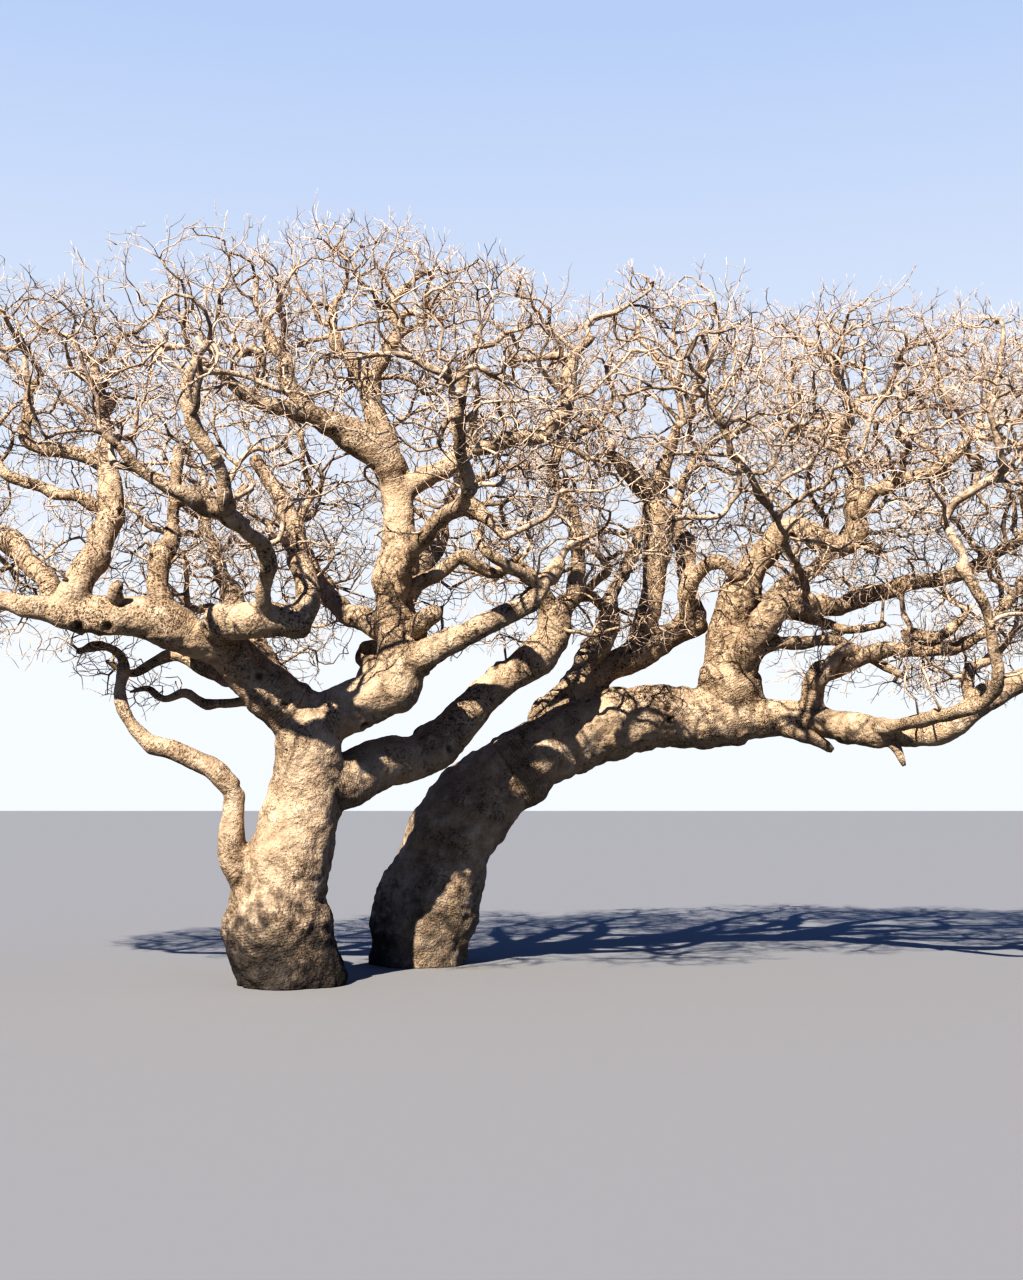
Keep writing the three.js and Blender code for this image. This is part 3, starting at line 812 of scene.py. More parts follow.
@dataclass(frozen=True)
class BarkFinish:
    """Smooth swollen bark: warm tan, clouded with grey-brown, flecked with small dark pits.

    The foot of each trunk is stained dark grey, and creases run round the limbs, deepest at the
    forks. The creases and the hollows are darkened with painted shade, and the pits' dark brown
    is partly their own colour and partly painted shade inside them. A noise is its patches to
    the metre, its finer layers and their roughness. An edge is where a mask starts and where it
    is full: left_edge in X, mottled_below, stain_edge and high_edge in Z, and the others in a
    noise. Blotches and patches move the stain's edge by up to half of stain_waver. Mottle and
    stain have one share at the right foot and one at the left, and the shaded pits one on low
    bark and one on high bark, where clump_lift makes them denser.
    roughness is the middle one, and the grains change it by up to half of polish. A rise or a
    sink is a share of relief_depth, which is in metres, and so is grain_depth.
    """

    light: tuple = (0.56, 0.435, 0.31)
    pale: tuple = (0.71, 0.58, 0.44)
    weathered: tuple = (0.33, 0.245, 0.172)
    grey: tuple = (0.04, 0.038, 0.039)
    brown: tuple = (0.10, 0.067, 0.045)
    # dark is the colour of the painted shade in the creases and hollows.
    dark: tuple = (0.045, 0.034, 0.028)
    roughness: float = 0.82
    polish: float = 0.2
    patch_noise: tuple = (1.5, 5.0, 0.62)
    blotch_noise: tuple = (6.5, 6.0, 0.66)
    grain_noise: tuple = (34.0, 4.0, 0.62)
    speck_noise: tuple = (90.0, 2.0, 0.5)
    mottle_noise: tuple = (10.0, 6.0, 0.72)
    clump_noise: tuple = (2.9, 4.0, 0.65)
    fleck_noise: tuple = (44.0, 5.0, 0.72)
    spot_noise: tuple = (19.0, 4.0, 0.6)
    pebble_scale: float = 34.0
    weathered_patches: Layer = Layer(0.44, 0.68, 0.6)
    pale_blotches: Layer = Layer(0.5, 0.66, 0.7)
    weathered_blotches: Layer = Layer(0.47, 0.36, 0.55)
    weathered_grains: Layer = Layer(0.55, 0.7, 0.4)
    left_edge: tuple = (0.95, 0.65)
    mottle_edge: tuple = (0.46, 0.58)
    mottled_below: tuple = (1.75, 0.9)
    mottle_shares: tuple = (0.25, 0.5)
    stain_edge: tuple = (0.9, 0.26)
    stain_waver: tuple = (1.1, 1.3)
    stain_shares: tuple = (0.33, 0.88)
    high_edge: tuple = (1.7, 3.1)
    clump_edge: tuple = (0.47, 0.61)
    clump_lift: tuple = (-0.03, 0.04)
    fleck_edge: tuple = (0.54, 0.6)
    spot_edge: tuple = (0.6, 0.66)
    hole_shares: tuple = (0.55, 0.85)
    pebble_edge: tuple = (0.0, 0.75)
    crease_spacing: float = 0.03
    crease_waver: float = 14.0
    crease_edge: tuple = (0.1, 1.0)
    creased_patches: tuple = (0.38, 0.55)
    crease_dark: float = 0.22
    hollow_dark: float = 0.7
    relief_depth: float = 0.034
    blotch_rise: float = 0.55
    grain_rise: float = 0.4
    hole_sink: float = 0.3
    crease_sink: float = 0.45
    pebble_sink: float = 0.2
    grain_depth: float = 0.008

    def build(self) -> bpy.types.Material:
        """Makes the material.

        Returns:
            The bark material.
        """
        paint = Paint("bark", self.roughness)
        patches = paint.noise(*self.patch_noise)
        blotches = paint.noise(*self.blotch_noise)
        grains = paint.noise(*self.grain_noise)
        upright = paint.node("ShaderNodeSeparateXYZ", {}, paint.place(), out="Z")
        high = upright.ramp(*self.high_edge)
        colour = paint.mix(self.weathered_patches.over(patches), self.light, self.weathered)
        colour = paint.mix(self.pale_blotches.over(blotches), colour, self.pale)
        colour = paint.mix(self.weathered_blotches.over(blotches), colour, self.weathered)
        colour = paint.mix(self.weathered_grains.over(grains), colour, self.weathered)
        colour = self._foot(paint, colour, upright, blotches, patches)
        shaded_pits = self._holes(paint, high)
        creases = self._creases(paint, blotches, patches)
        # Painted shade, partly: the pits turn dark brown, their own colour and the shade inside them.
        colour = paint.mix(shaded_pits * high.between(*self.hole_shares), colour, self.brown)
        # Painted shade: the creases and the hollows are darkened as shade would darken them.
        painted_shade = creases * self.crease_dark + paint.attribute("hollow") * self.hollow_dark
        colour = paint.mix(painted_shade.ramp(0.0, 1.0), colour, self.dark)
        paint.put(paint.shader.inputs["Base Color"], colour)
        paint.put(paint.shader.inputs["Roughness"], self.roughness - (grains - 0.5) * self.polish)
        pebbles = paint.cells(self.pebble_scale, "SMOOTH_F1").ramp(*self.pebble_edge)
        raised = blotches * self.blotch_rise + grains * self.grain_rise
        sunk = shaded_pits * self.hole_sink + creases * self.crease_sink + pebbles * self.pebble_sink
        normal = paint.bump(raised - sunk, self.relief_depth)
        normal = paint.bump(paint.noise(*self.speck_noise) + grains, self.grain_depth, normal)
        paint.put(paint.shader.inputs["Normal"], normal)
        return paint.material

    def _foot(self, paint: Paint, colour: Sock, upright: Sock, blotches: Sock, patches: Sock) -> Sock:
        """Mottles and stains the foot of each trunk.

        Args:
            paint: the material being made.
            colour: the colour so far.
            upright: the height above the ground.
            blotches: the blotches' noise.
            patches: the patches' noise.

        Returns:
            The colour with the mottle and the stain.
        """
        rightward = paint.node("ShaderNodeSeparateXYZ", {}, paint.place(), out="X")
        left_foot = rightward.ramp(*self.left_edge)
        mottle = paint.noise(*self.mottle_noise).ramp(*self.mottle_edge) * upright.ramp(*self.mottled_below)
        colour = paint.mix(mottle * left_foot.between(*self.mottle_shares), colour, self.brown)
        waver = (blotches - 0.5) * self.stain_waver[0] + (patches - 0.5) * self.stain_waver[1]
        stain = (upright + waver).ramp(*self.stain_edge)
        return paint.mix(stain * left_foot.between(*self.stain_shares), colour, self.grey)

    def _holes(self, paint: Paint, high: Sock) -> Sock:
        """Small dark pits, which stand in clumps.

        Args:
            paint: the material being made.
            high: 1 for high bark and 0 for low bark.

        Returns:
            1 in a pit and 0 beside it.
        """
        # The pits' dark colour is partly their own and partly painted shade inside them.
        clumps = (paint.noise(*self.clump_noise) + high.between(*self.clump_lift)).ramp(*self.clump_edge)
        flecks = paint.noise(*self.fleck_noise).ramp(*self.fleck_edge) * clumps
        spots = paint.noise(*self.spot_noise).ramp(*self.spot_edge) * clumps
        return (flecks + spots).maths("MINIMUM", 1.0)

    def _creases(self, paint: Paint, blotches: Sock, patches: Sock) -> Sock:
        """Creases round the limbs: a wave along each limb, bent by the blotches.

        Args:
            paint: the material being made.
            blotches: the blotches' noise.
            patches: the patches' noise.

        Returns:
            1 in a deep crease and 0 beside it.
        """
        turns = paint.attribute("along") * (2 * math.pi / self.crease_spacing)
        wave = (turns + blotches * self.crease_waver).maths("SINE")
        depth = paint.attribute("crease") * patches.ramp(*self.creased_patches)
        return wave.ramp(*self.crease_edge) * depth


@dataclass(frozen=True)
class BoughFinish:
    """The thinner boughs' bark: straw to grey-brown, with small dark scars.

    Its noises and edges are given as those of BarkFinish are, and its rises and sinks too.
    tan_shares are how much the patches and the blotches have to say in where it is tan.
    """

    straw: tuple = (0.64, 0.505, 0.38)
    tan: tuple = (0.31, 0.24, 0.18)
    dark: tuple = (0.07, 0.055, 0.045)
    roughness: float = 0.82
    patch_noise: tuple = (3.0, 4.0, 0.6)
    blotch_noise: tuple = (14.0, 4.0, 0.6)
    grain_noise: tuple = (60.0, 3.0, 0.6)
    tan_shares: tuple = (0.6, 0.4)
    tan_edge: tuple = (0.42, 0.62)
    scarred_grains: tuple = (0.57, 0.66)
    scarred_blotches: tuple = (0.45, 0.58)
    scar_dark: float = 0.85
    relief_depth: float = 0.026
    grain_rise: float = 0.5
    scar_sink: float = 0.6

    def build(self) -> bpy.types.Material:
        """Makes the material.

        Returns:
            The material.
        """
        paint = Paint("bough_bark", self.roughness)
        patches = paint.noise(*self.patch_noise)
        blotches = paint.noise(*self.blotch_noise)
        grains = paint.noise(*self.grain_noise)
        cloud = patches * self.tan_shares[0] + blotches * self.tan_shares[1]
        colour = paint.mix(cloud.ramp(*self.tan_edge), self.straw, self.tan)
        scars = grains.ramp(*self.scarred_grains) * blotches.ramp(*self.scarred_blotches)
        colour = paint.mix(scars * self.scar_dark, colour, self.dark)
        paint.put(paint.shader.inputs["Base Color"], colour)
        height = blotches + grains * self.grain_rise - scars * self.scar_sink
        paint.put(paint.shader.inputs["Normal"], paint.bump(height, self.relief_depth))
        return paint.material


@dataclass(frozen=True)
class TwigFinish:
    """Dry twigs: plain base colours from pale straw to grey-brown, dealt out spray by spray; the palest and
    darkest stand partly for sunlit and shaded twigs, painted light and shade.
    """

    # The palest tone stands partly for sunlit twigs and the darkest partly for shaded ones: painted light and
    # shade.
    palest: tuple = (0.75, 0.605, 0.475)
    darkest: tuple = (0.16, 0.128, 0.112)
    steps: int = 5
    bend: float = 1.8
    roughness: float = 0.75

    def build(self) -> list:
        """Makes the materials, palest first.

        Returns:
            The materials.
        """
        made = []
        for step in range(self.steps):
            share = (step / (self.steps - 1)) ** self.bend
            paint = Paint("twig_" + str(step), self.roughness)
            colour = [a + (b - a) * share for a, b in zip(self.palest, self.darkest)]
            paint.put(paint.shader.inputs["Base Color"], (*colour, 1.0))
            made.append(paint.material)
        return made


@dataclass
class BarkSkin:
    """One trunk with all its limbs under a shared bark, so that every fork is grown together.

    The limbs' tubes are melted into one skin of small even faces, the forks are softened, and
    the relief is pressed in. cell is the size of the faces, soften how many times they are eased
    and ease how much each time, down to least_ease of that on limbs that are thin beside
    eased_from and eased_over. lumps, dents, burls and flare are heights in radii, and grain,
    foot_lumps and foot_grain heights in metres, and their sizes are how wide each is. The foot's
    relief is full on limbs of the radius thick, the burls are dents of limbs about as thin as
    burled, higher up than burls_from, and the grain is full from the radius full_grain on. Its
    rings are ring_squash times as wide as high. The foot flares in ribs, foot is how high its own
    relief goes, and sunk how far the tubes reach into the ground before they are cut. fork_ring
    and foot_ring are where the creases are, as a middle and a width. Limbs thin beside folding
    have none, and the foot's are foot_folds deep. There are as many knots as knots says, all
    higher up than clear_bark, and their measures are in shares of their reach.
    """

    skeleton: Skeleton
    side: Side
    cell: float = 0.0255
    tube_sides: int = 18
    soften: int = 8
    lumps: float = 0.14
    dents: float = 0.05
    burls: float = 0.15
    grain: float = 0.005
    flare: float = 0.05
    flare_height: float = 0.35
    foot: float = 0.75
    foot_lumps: float = 0.022
    foot_grain: float = 0.009
    sunk: float = 0.12
    knots: int = 40
    clear_bark: float = 2.3
    thinnest_knotted: float = 0.07
    ease: float = 0.6
    ribs: int = 4
    lump_size: float = 0.42
    dent_size: float = 0.13
    ring_size: float = 0.11
    grain_size: float = 0.05
    foot_lump_size: float = 0.22
    foot_grain_size: float = 0.07
    # How deep a hollow lies where its painted shade is full.
    hollow_depth: float = 0.005
    fork_ring: tuple = (0.32, 0.26)
    foot_ring: tuple = (0.55, 0.22)
    knot_reach: tuple = (0.3, 0.5)
    widest_knotted: float = 0.17
    knot_rim: float = 0.34
    knot_cup: float = 0.42
    # How dark the painted shade in a knot's cup is.
    knot_dark: float = 0.55
    knot_ring: tuple = (1.1, 0.45)
    knot_hollow: tuple = (0.0, 0.6)
    knot_edge: float = 3.0
    eased_from: float = 0.04
    eased_over: float = 0.1
    least_ease: float = 0.15
    thick: float = 0.3
    burled: float = 0.14
    burls_from: float = 2.2
    full_grain: float = 0.15
    ring_squash: float = 2.2
    folding: float = 0.2
    foot_folds: float = 0.5

    def names(self) -> list[str]:
        """Returns: the names of the limbs under this skin, which are node names too."""
        names = [plan.name for plan in (*TRUNKS, *LIMBS)]
        return [name for name in names if self.skeleton.side_of(name) is self.side]

    def _rough_tubes(self) -> Faces:
        """The limbs as plain tubes, with the trunk reaching a little under the ground.

        Returns:
            The tubes.
        """
        parts = []
        for name in self.names():
            line = self.skeleton.lines[name]
            if name == self.side.value:
                points = np.vstack([line.points[0] - [0, 0, self.sunk], line.points])
                radii = np.concatenate([line.radii[:1], line.radii])
                line = Line(points, radii, np.append(line.walked, 0))
            parts.append(line)
        return joined(parts).swept(self.tube_sides)

    def _melt(self, tubes: Faces) -> tuple:
        """Melts overlapping tubes into one skin.

        Args:
            tubes: the tubes.

        Returns:
            The skin's places and four-sided faces.
        """
        rough = make_piece("melting", tubes, [])
        melt = rough.modifiers.new("melt", "REMESH")
        melt.mode = "VOXEL"
        melt.voxel_size = self.cell
        shaped = rough.evaluated_get(bpy.context.evaluated_depsgraph_get()).to_mesh()
        places = np.empty(len(shaped.vertices) * 3, np.float32)
        shaped.vertices.foreach_get("co", places)
        corners = np.empty(len(shaped.loops), np.int32)
        shaped.loops.foreach_get("vertex_index", corners)
        bpy.data.meshes.remove(rough.data)
        return places.reshape(-1, 3).astype(float), corners.reshape(-1, 4)

    def build(self, finish: bpy.types.Material) -> bpy.types.Object:
        """Makes the skin.

        The skin is softened by moving each place towards the mean of its neighbours, more on
        thick limbs than on thin ones. Then the relief, the flare of the foot and the knots move
        it along its normals. Where a place lies deeper than its neighbours' mean, and in the
        knots' cups, it gets painted shade, kept as an attribute for the bark's colour.

        Args:
            finish: the bark material.

        Returns:
            The piece.
        """
        places, quads = self._melt(self._rough_tubes())
        middle, size, along, crease = self._nearest(places)
        edges = np.vstack([quads[:, [k, (k + 1) % 4]] for k in range(4)])
        count = np.bincount(edges[:, 0], minlength=len(places)).astype(float)[:, None]
        thickness = (size - self.eased_from) / self.eased_over
        ease = np.clip(thickness, self.least_ease, 1)[:, None] * self.ease
        for _ in range(self.soften):
            places = places + (self._mean(places, edges, count) - places) * ease
        outward = self._normals(places, quads)
        turn = np.arctan2(places[:, 1] - middle[:, 1], places[:, 0] - middle[:, 0])
        spread = self.flare * np.exp(-places[:, 2] / self.flare_height) * np.cos(self.ribs * turn + 1)
        knot, cup_shade = self._knots(places, size)
        relief = self._relief(places, size)
        places = places + outward * (relief + size * spread + knot)[:, None]
        inward = np.sum((self._mean(places, edges, count) - places) * outward, axis=1)
        # Painted shade: darkest in hollows and in the knots' cups, kept for the bark's colour.
        hollow = np.clip(np.clip(inward / self.hollow_depth, 0, 1) * 0.5 + cup_shade, 0, 1)
        faces = Faces(places, quads, np.zeros((0, 4), int), size)
        piece = make_piece("bark_" + self.side.name.lower(), faces, [finish])
        keep_values(piece, "hollow", hollow)
        keep_values(piece, "along", along)
        keep_values(piece, "crease", crease)
        return self._cut_at_ground(piece)

    def _relief(self, places: np.ndarray, size: np.ndarray) -> np.ndarray:
        """How far the bark stands out: lumps and dents in radii, and fine grain in metres.

        Args:
            places: rows of x, y, z.
            size: the radius of the nearest limb.

        Returns:
            One height for each place.
        """
        big = np.clip(size / self.thick, 0.5, 1)
        lumps = self.lumps * lattice_noise(places, self.lump_size, Pattern.LUMPS) / (0.5 + big)
        burls = self.burls * np.clip(1.4 - size / self.burled, 0, 1)
        dents = self.dents + burls * np.clip(places[:, 2] - self.burls_from, 0.1, 1)
        relief = size * (lumps + dents * lattice_noise(places, self.dent_size, Pattern.DENTS))
        rings = lattice_noise(places * [1, 1, self.ring_squash], self.ring_size, Pattern.RINGS)
        grain = self.grain * (rings + lattice_noise(places, self.grain_size, Pattern.GRAIN))
        relief += grain * np.clip(size / self.full_grain, 0.2, 1.5)
        low = np.clip(1 - places[:, 2] / self.foot, 0, 1) * np.clip(size / self.thick, 0, 1)
        foot = self.foot_lumps * lattice_noise(places, self.foot_lump_size, Pattern.FOOT_LUMPS)
        foot += self.foot_grain * lattice_noise(places, self.foot_grain_size, Pattern.FOOT_GRAIN)
        return relief + low * foot

    def _nearest(self, places: np.ndarray) -> tuple:
        """What lies nearest to each place on the limbs' middle lines.

        Creases are strongest in a ring near a thick limb's start, and on a trunk in a ring above
        its foot.

        Args:
            places: rows of x, y, z.

        Returns:
            The nearest middle points, the radii there, the lengths along, and the creases.
        """
        lines = [self.skeleton.lines[name] for name in self.names()]
        points = np.vstack([line.points[::2] for line in lines])
        radii = np.concatenate([line.radii[::2] for line in lines])
        walked = np.concatenate([line.walked[::2] for line in lines])
        owner = np.concatenate([np.full(len(line.points[::2]), k) for k, line in enumerate(lines)])
        trunk = self.names().index(self.side.value)
        best = np.empty(len(places), int)
        for low in range(0, len(places), ROWS_AT_ONCE):
            part = places[low:low + ROWS_AT_ONCE]
            gap = ((part[:, None] - points[None]) ** 2).sum(2) ** 0.5 - radii[None]
            best[low:low + ROWS_AT_ONCE] = gap.argmin(1)
        step = unit(np.gradient(points, axis=0))[best]
        along = walked[best] + np.sum((places - points[best]) * step, axis=1)
        on_trunk = owner[best] == trunk
        folded = hump(walked[best], *self.fork_ring) * np.clip(radii[best] / self.folding - 0.35, 0, 1)
        folded[on_trunk] = 0.0
        folded += hump(places[:, 2], *self.foot_ring) * self.foot_folds * on_trunk
        return points[best], radii[best], along, np.clip(folded, 0, 1)

    def _knots(self, places: np.ndarray, size: np.ndarray) -> tuple:
        """Healed knots: a raised ring round a hollow, on random places of the thicker limbs.

        Args:
            places: rows of x, y, z.
            size: the radius of the nearest limb.

        Returns:
            How far each place moves out, and how much painted shade darkens it.
        """
        rng = np.random.default_rng(SEED + 3)
        fit = np.flatnonzero((size > self.thinnest_knotted) & (places[:, 2] > self.clear_bark))
        spots = rng.choice(fit, self.knots, replace=False)
        moved = np.zeros(len(places))
        cup_shade = np.zeros(len(places))
        for spot in spots:
            reach = rng.uniform(*self.knot_reach) * min(size[spot], self.widest_knotted)
            gap = np.linalg.norm(places - places[spot], axis=1) / reach
            near = gap < self.knot_edge
            cup, rim = hump(gap[near], *self.knot_hollow), hump(gap[near], *self.knot_ring)
            moved[near] += reach * (self.knot_rim * rim - self.knot_cup * cup)
            # Painted shade in the knot's cup.
            cup_shade[near] += cup * self.knot_dark
        return moved, cup_shade

    @staticmethod
    def _mean(places: np.ndarray, edges: np.ndarray, count: np.ndarray) -> np.ndarray:
        """Args: edges: pairs that share a side. count: neighbours of each. Returns: their means."""
        sums = [np.bincount(edges[:, 0], places[edges[:, 1], k], len(places)) for k in range(3)]
        return np.stack(sums, axis=1) / np.maximum(count, 1)

    @staticmethod
    def _normals(places: np.ndarray, quads: np.ndarray) -> np.ndarray:
        """The outward direction at each place.

        Args:
            places: rows of x, y, z.
            quads: the four-sided faces.

        Returns:
            Directions of length one.
        """
        corner = [places[quads[:, k]] for k in range(4)]
        across = np.cross(corner[2] - corner[0], corner[3] - corner[1])
        sums = [np.bincount(quads.ravel(), np.repeat(across[:, k], 4), len(places)) for k in range(3)]
        return unit(np.stack(sums, axis=1))

    def _cut_at_ground(self, piece: bpy.types.Object) -> bpy.types.Object:
        """Cuts the skin off flat at the ground and closes the cut.

        Args:
            piece: the skin.

        Returns:
            The piece.
        """
        shape = bmesh.new()
        shape.from_mesh(piece.data)
        everything = [*shape.verts, *shape.edges, *shape.faces]
        cut = bmesh.ops.bisect_plane(shape, geom=everything, plane_co=(0, 0, 0), plane_no=(0, 0, -1),
                                     clear_outer=True)
        rim = [e for e in cut["geom_cut"] if isinstance(e, bmesh.types.BMEdge)]
        bmesh.ops.contextual_create(shape, geom=rim)
        shape.to_mesh(piece.data)
        shape.free()
        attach(piece, BODY)
        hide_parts(*self.names())
        LOG.info("%s: %d faces under one bark", piece.name, len(piece.data.polygons))
        return piece


@dataclass(frozen=True)
class Mass:
    """The room of one twig mass: an uneven ball with a middle and half sizes."""

    name: str
    middle: np.ndarray
    half: np.ndarray
    weight: float = 1.0

    def share(self, places: np.ndarray) -> np.ndarray:
        """Args: places: rows of x, y, z. Returns: 0 in the middle to 1 at the surface, for each."""
        return np.linalg.norm((places - self.middle) / self.half, axis=1)


# Rooms of twigs beside the masses: below them, between them and the boughs, and at the top.
THICKETS = (
    Mass("thicket_centre", np.array([2.3, 0.2, 4.35]), np.array([0.75, 0.6, 0.42]), 1.8),
    Mass("thicket_left", np.array([-2.3, -0.5, 4.3]), np.array([1.0, 0.7, 0.5]), 1.9),
    Mass("thicket_far_left", np.array([-3.6, 0.3, 4.1]), np.array([1.1, 1.1, 0.6]), 1.1),
    Mass("thicket_under", np.array([-2.5, -0.8, 3.3]), np.array([0.5, 0.35, 0.16]), 1.6),
    Mass("thicket_low", np.array([-2.0, -0.1, 3.3]), np.array([0.45, 0.4, 0.32]), 3.5),
    Mass("thicket_stems", np.array([-1.65, 0.25, 2.98]), np.array([0.45, 0.35, 0.24]), 3.5),
    Mass("thicket_fork", np.array([-0.1, 0.8, 3.35]), np.array([0.7, 0.5, 0.3]), 2.2),
    Mass("thicket_front", np.array([0.0, -0.9, 4.3]), np.array([1.1, 0.7, 0.5]), 1.8),
    Mass("thicket_back", np.array([-0.6, 1.4, 4.15]), np.array([1.6, 1.1, 0.7]), 1.6),
    Mass("thicket_middle", np.array([1.7, 1.4, 4.1]), np.array([1.2, 1.1, 0.65]), 1.3),
    Mass("thicket_riser", np.array([3.5, 1.6, 4.2]), np.array([1.2, 1.2, 0.7]), 1.3),
    Mass("thicket_near", np.array([3.3, -0.6, 4.5]), np.array([1.0, 0.8, 0.5]), 1.0),
    Mass("thicket_knee", np.array([5.5, 2.0, 4.2]), np.array([1.2, 1.1, 0.7]), 1.3),
    Mass("thicket_right", np.array([7.0, 0.9, 3.3]), np.array([0.9, 0.7, 0.5]), 3.0),
    Mass("thicket_arch", np.array([6.3, 1.9, 3.3]), np.array([1.2, 0.6, 0.36]), 3.0),
    Mass("thicket_far_right", np.array([7.6, 1.9, 4.1]), np.array([1.3, 1.1, 0.7]), 1.3),
    Mass("thicket_left_high", np.array([-2.3, -0.3, 4.85]), np.array([0.55, 0.55, 0.4]), 1.2),
    Mass("thicket_right_high", np.array([6.5, 1.8, 4.5]), np.array([0.8, 0.8, 0.35]), 1.5),
    Mass("top_right", np.array([5.5, 2.3, 7.05]), np.array([0.75, 0.9, 0.5]), 1.2),
    Mass("top_far_right", np.array([7.6, 2.2, 6.85]), np.array([1.1, 1.0, 0.6]), 1.2),
    Mass("between_front_left", np.array([-0.3, -1.5, 5.0]), np.array([1.3, 0.8, 0.8]), 0.3),
    Mass("between_front_middle", np.array([1.7, -1.2, 5.0]), np.array([1.2, 0.8, 0.8]), 0.3),
    Mass("between_front_right", np.array([3.6, 0.1, 5.3]), np.array([1.2, 0.9, 0.9]), 0.3),
    Mass("between_front_far", np.array([5.6, 0.6, 5.2]), np.array([1.3, 0.9, 0.9]), 0.3),
    Mass("between_back_left", np.array([-0.2, 1.9, 5.6]), np.array([1.0, 0.9, 0.9]), 0.45),
    Mass("between_back", np.array([2.7, 2.8, 5.6]), np.array([1.0, 1.0, 0.9]), 0.45),
    Mass("between_back_right", np.array([5.2, 3.6, 5.6]), np.array([1.0, 1.0, 0.9]), 0.45),
)


@dataclass(frozen=True)
class Gap:
    """A tunnel of open air along the viewer's line of sight, by its place in the trunk's plane."""

    x: float
    z: float
    half_width: float
    half_height: float

    def holds(self, places: np.ndarray, eye: np.ndarray, plane: float) -> np.ndarray:
        """Which places lie in the tunnel.

        Args:
            places: rows of x, y, z.
            eye: where the viewer stands.
            plane: the Y of the plane that the gap is measured in.

        Returns:
            True for each place inside.
        """
        share = (plane - eye[1]) / (places[:, 1] - eye[1])
        at = eye + (places - eye) * share[:, None]
        across, up = (at[:, 0] - self.x) / self.half_width, (at[:, 2] - self.z) / self.half_height
        return across ** 2 + up ** 2 < 1


@dataclass(frozen=True)
class Beam:
    """Open air between a sunlit place on the bark and the lamp, as a straight round tunnel."""

    x: float
    y: float
    z: float
    radius: float

    def holds(self, places: np.ndarray) -> np.ndarray:
        """Which places lie in the tunnel.

        Args:
            places: rows of x, y, z.

        Returns:
            True for each place inside.
        """
        away = places - [self.x, self.y, self.z]
        along = away @ TOWARD_LAMP
        beside = np.linalg.norm(away - along[:, None] * TOWARD_LAMP, axis=1)
        return (along > 0) & (beside < self.radius)


# The direction from the tree to the lamp, which stands left of the viewer and high.
TOWARD_LAMP = unit(np.array([-0.3, -0.7, 0.645]))
# Bark that is in full light, so that few twigs stand between it and the lamp.
BEAMS = (
    Beam(0.0, -0.4, 1.0, 0.6),
    Beam(0.05, -0.3, 1.9, 0.5),
    Beam(-0.2, -0.9, 3.5, 0.5),
    Beam(-1.5, -0.7, 3.6, 0.5),
    Beam(1.0, 0.0, 4.3, 0.5),
    Beam(1.6, -0.2, 3.3, 0.5),
    Beam(1.1, 0.1, 2.9, 0.4),
    Beam(1.3, 0.5, 2.3, 0.4),
    Beam(2.4, 0.9, 3.6, 0.5),
    Beam(1.5, 1.6, 1.2, 0.6),
    Beam(3.0, 1.8, 2.5, 0.6),
    Beam(3.8, 2.2, 4.6, 0.4),
    Beam(4.7, 1.9, 3.3, 0.7),
    Beam(5.4, 1.8, 4.1, 0.4),
    Beam(6.1, 1.2, 2.6, 0.5),
    Beam(7.3, 0.7, 2.9, 0.5),
)
# How much of a mass's box its twigs' starting points fill, across and upward.
ROOM_SHARE = np.array([0.93, 0.93, 0.84])
# How dense the front masses are, the back ones, and those between them.
FRONT_WEIGHT = 0.38
BACK_WEIGHT = 0.36
INNER_WEIGHT = 1.1
# Where the crown is open right through, in the plane just behind the left trunk.
GAP_PLANE = 0.8
GAPS = (
    Gap(0.18, 5.45, 0.26, 0.2),
    Gap(0.5, 4.06, 0.26, 0.16),
    Gap(0.5, 3.3, 0.36, 0.36),
    Gap(1.6, 3.7, 0.4, 0.2),
    Gap(3.3, 4.9, 0.2, 0.5),
    Gap(2.77, 5.2, 0.12, 0.2),
    Gap(4.35, 5.0, 0.2, 0.25),
    Gap(6.1, 3.72, 0.56, 0.22),
    Gap(5.77, 2.92, 0.5, 0.3),
    Gap(-2.0, 7.55, 0.42, 0.62),
    Gap(-1.45, 8.0, 0.5, 0.5),
    Gap(2.35, 7.95, 0.42, 0.45),
    Gap(2.6, 7.65, 0.26, 0.5),
    Gap(-3.0, 4.95, 0.3, 0.34),
    Gap(2.75, 4.45, 0.3, 0.3),
    Gap(3.75, 5.9, 0.22, 0.3),
    Gap(-0.75, 5.5, 0.3, 0.22),
    Gap(4.3, 3.85, 0.3, 0.2),
)


@dataclass(frozen=True)
class Habit:
    """How branches grow in one round.

    points is how many points are scattered and shell how much denser they are near a mass's
    surface. step is the length of one step, reach how far a point pulls, and done how near a
    branch has to come for a point to fall away. keep is how much of its heading a branch keeps,
    stray how strongly it bends aside, hold how likely a bend goes on in the next step, and out
    and lift are its pulls outward and upward.
    """

    points: int
    shell: float
    step: float
    reach: float
    done: float
    keep: float
    stray: float
    hold: float
    out: float
    lift: float


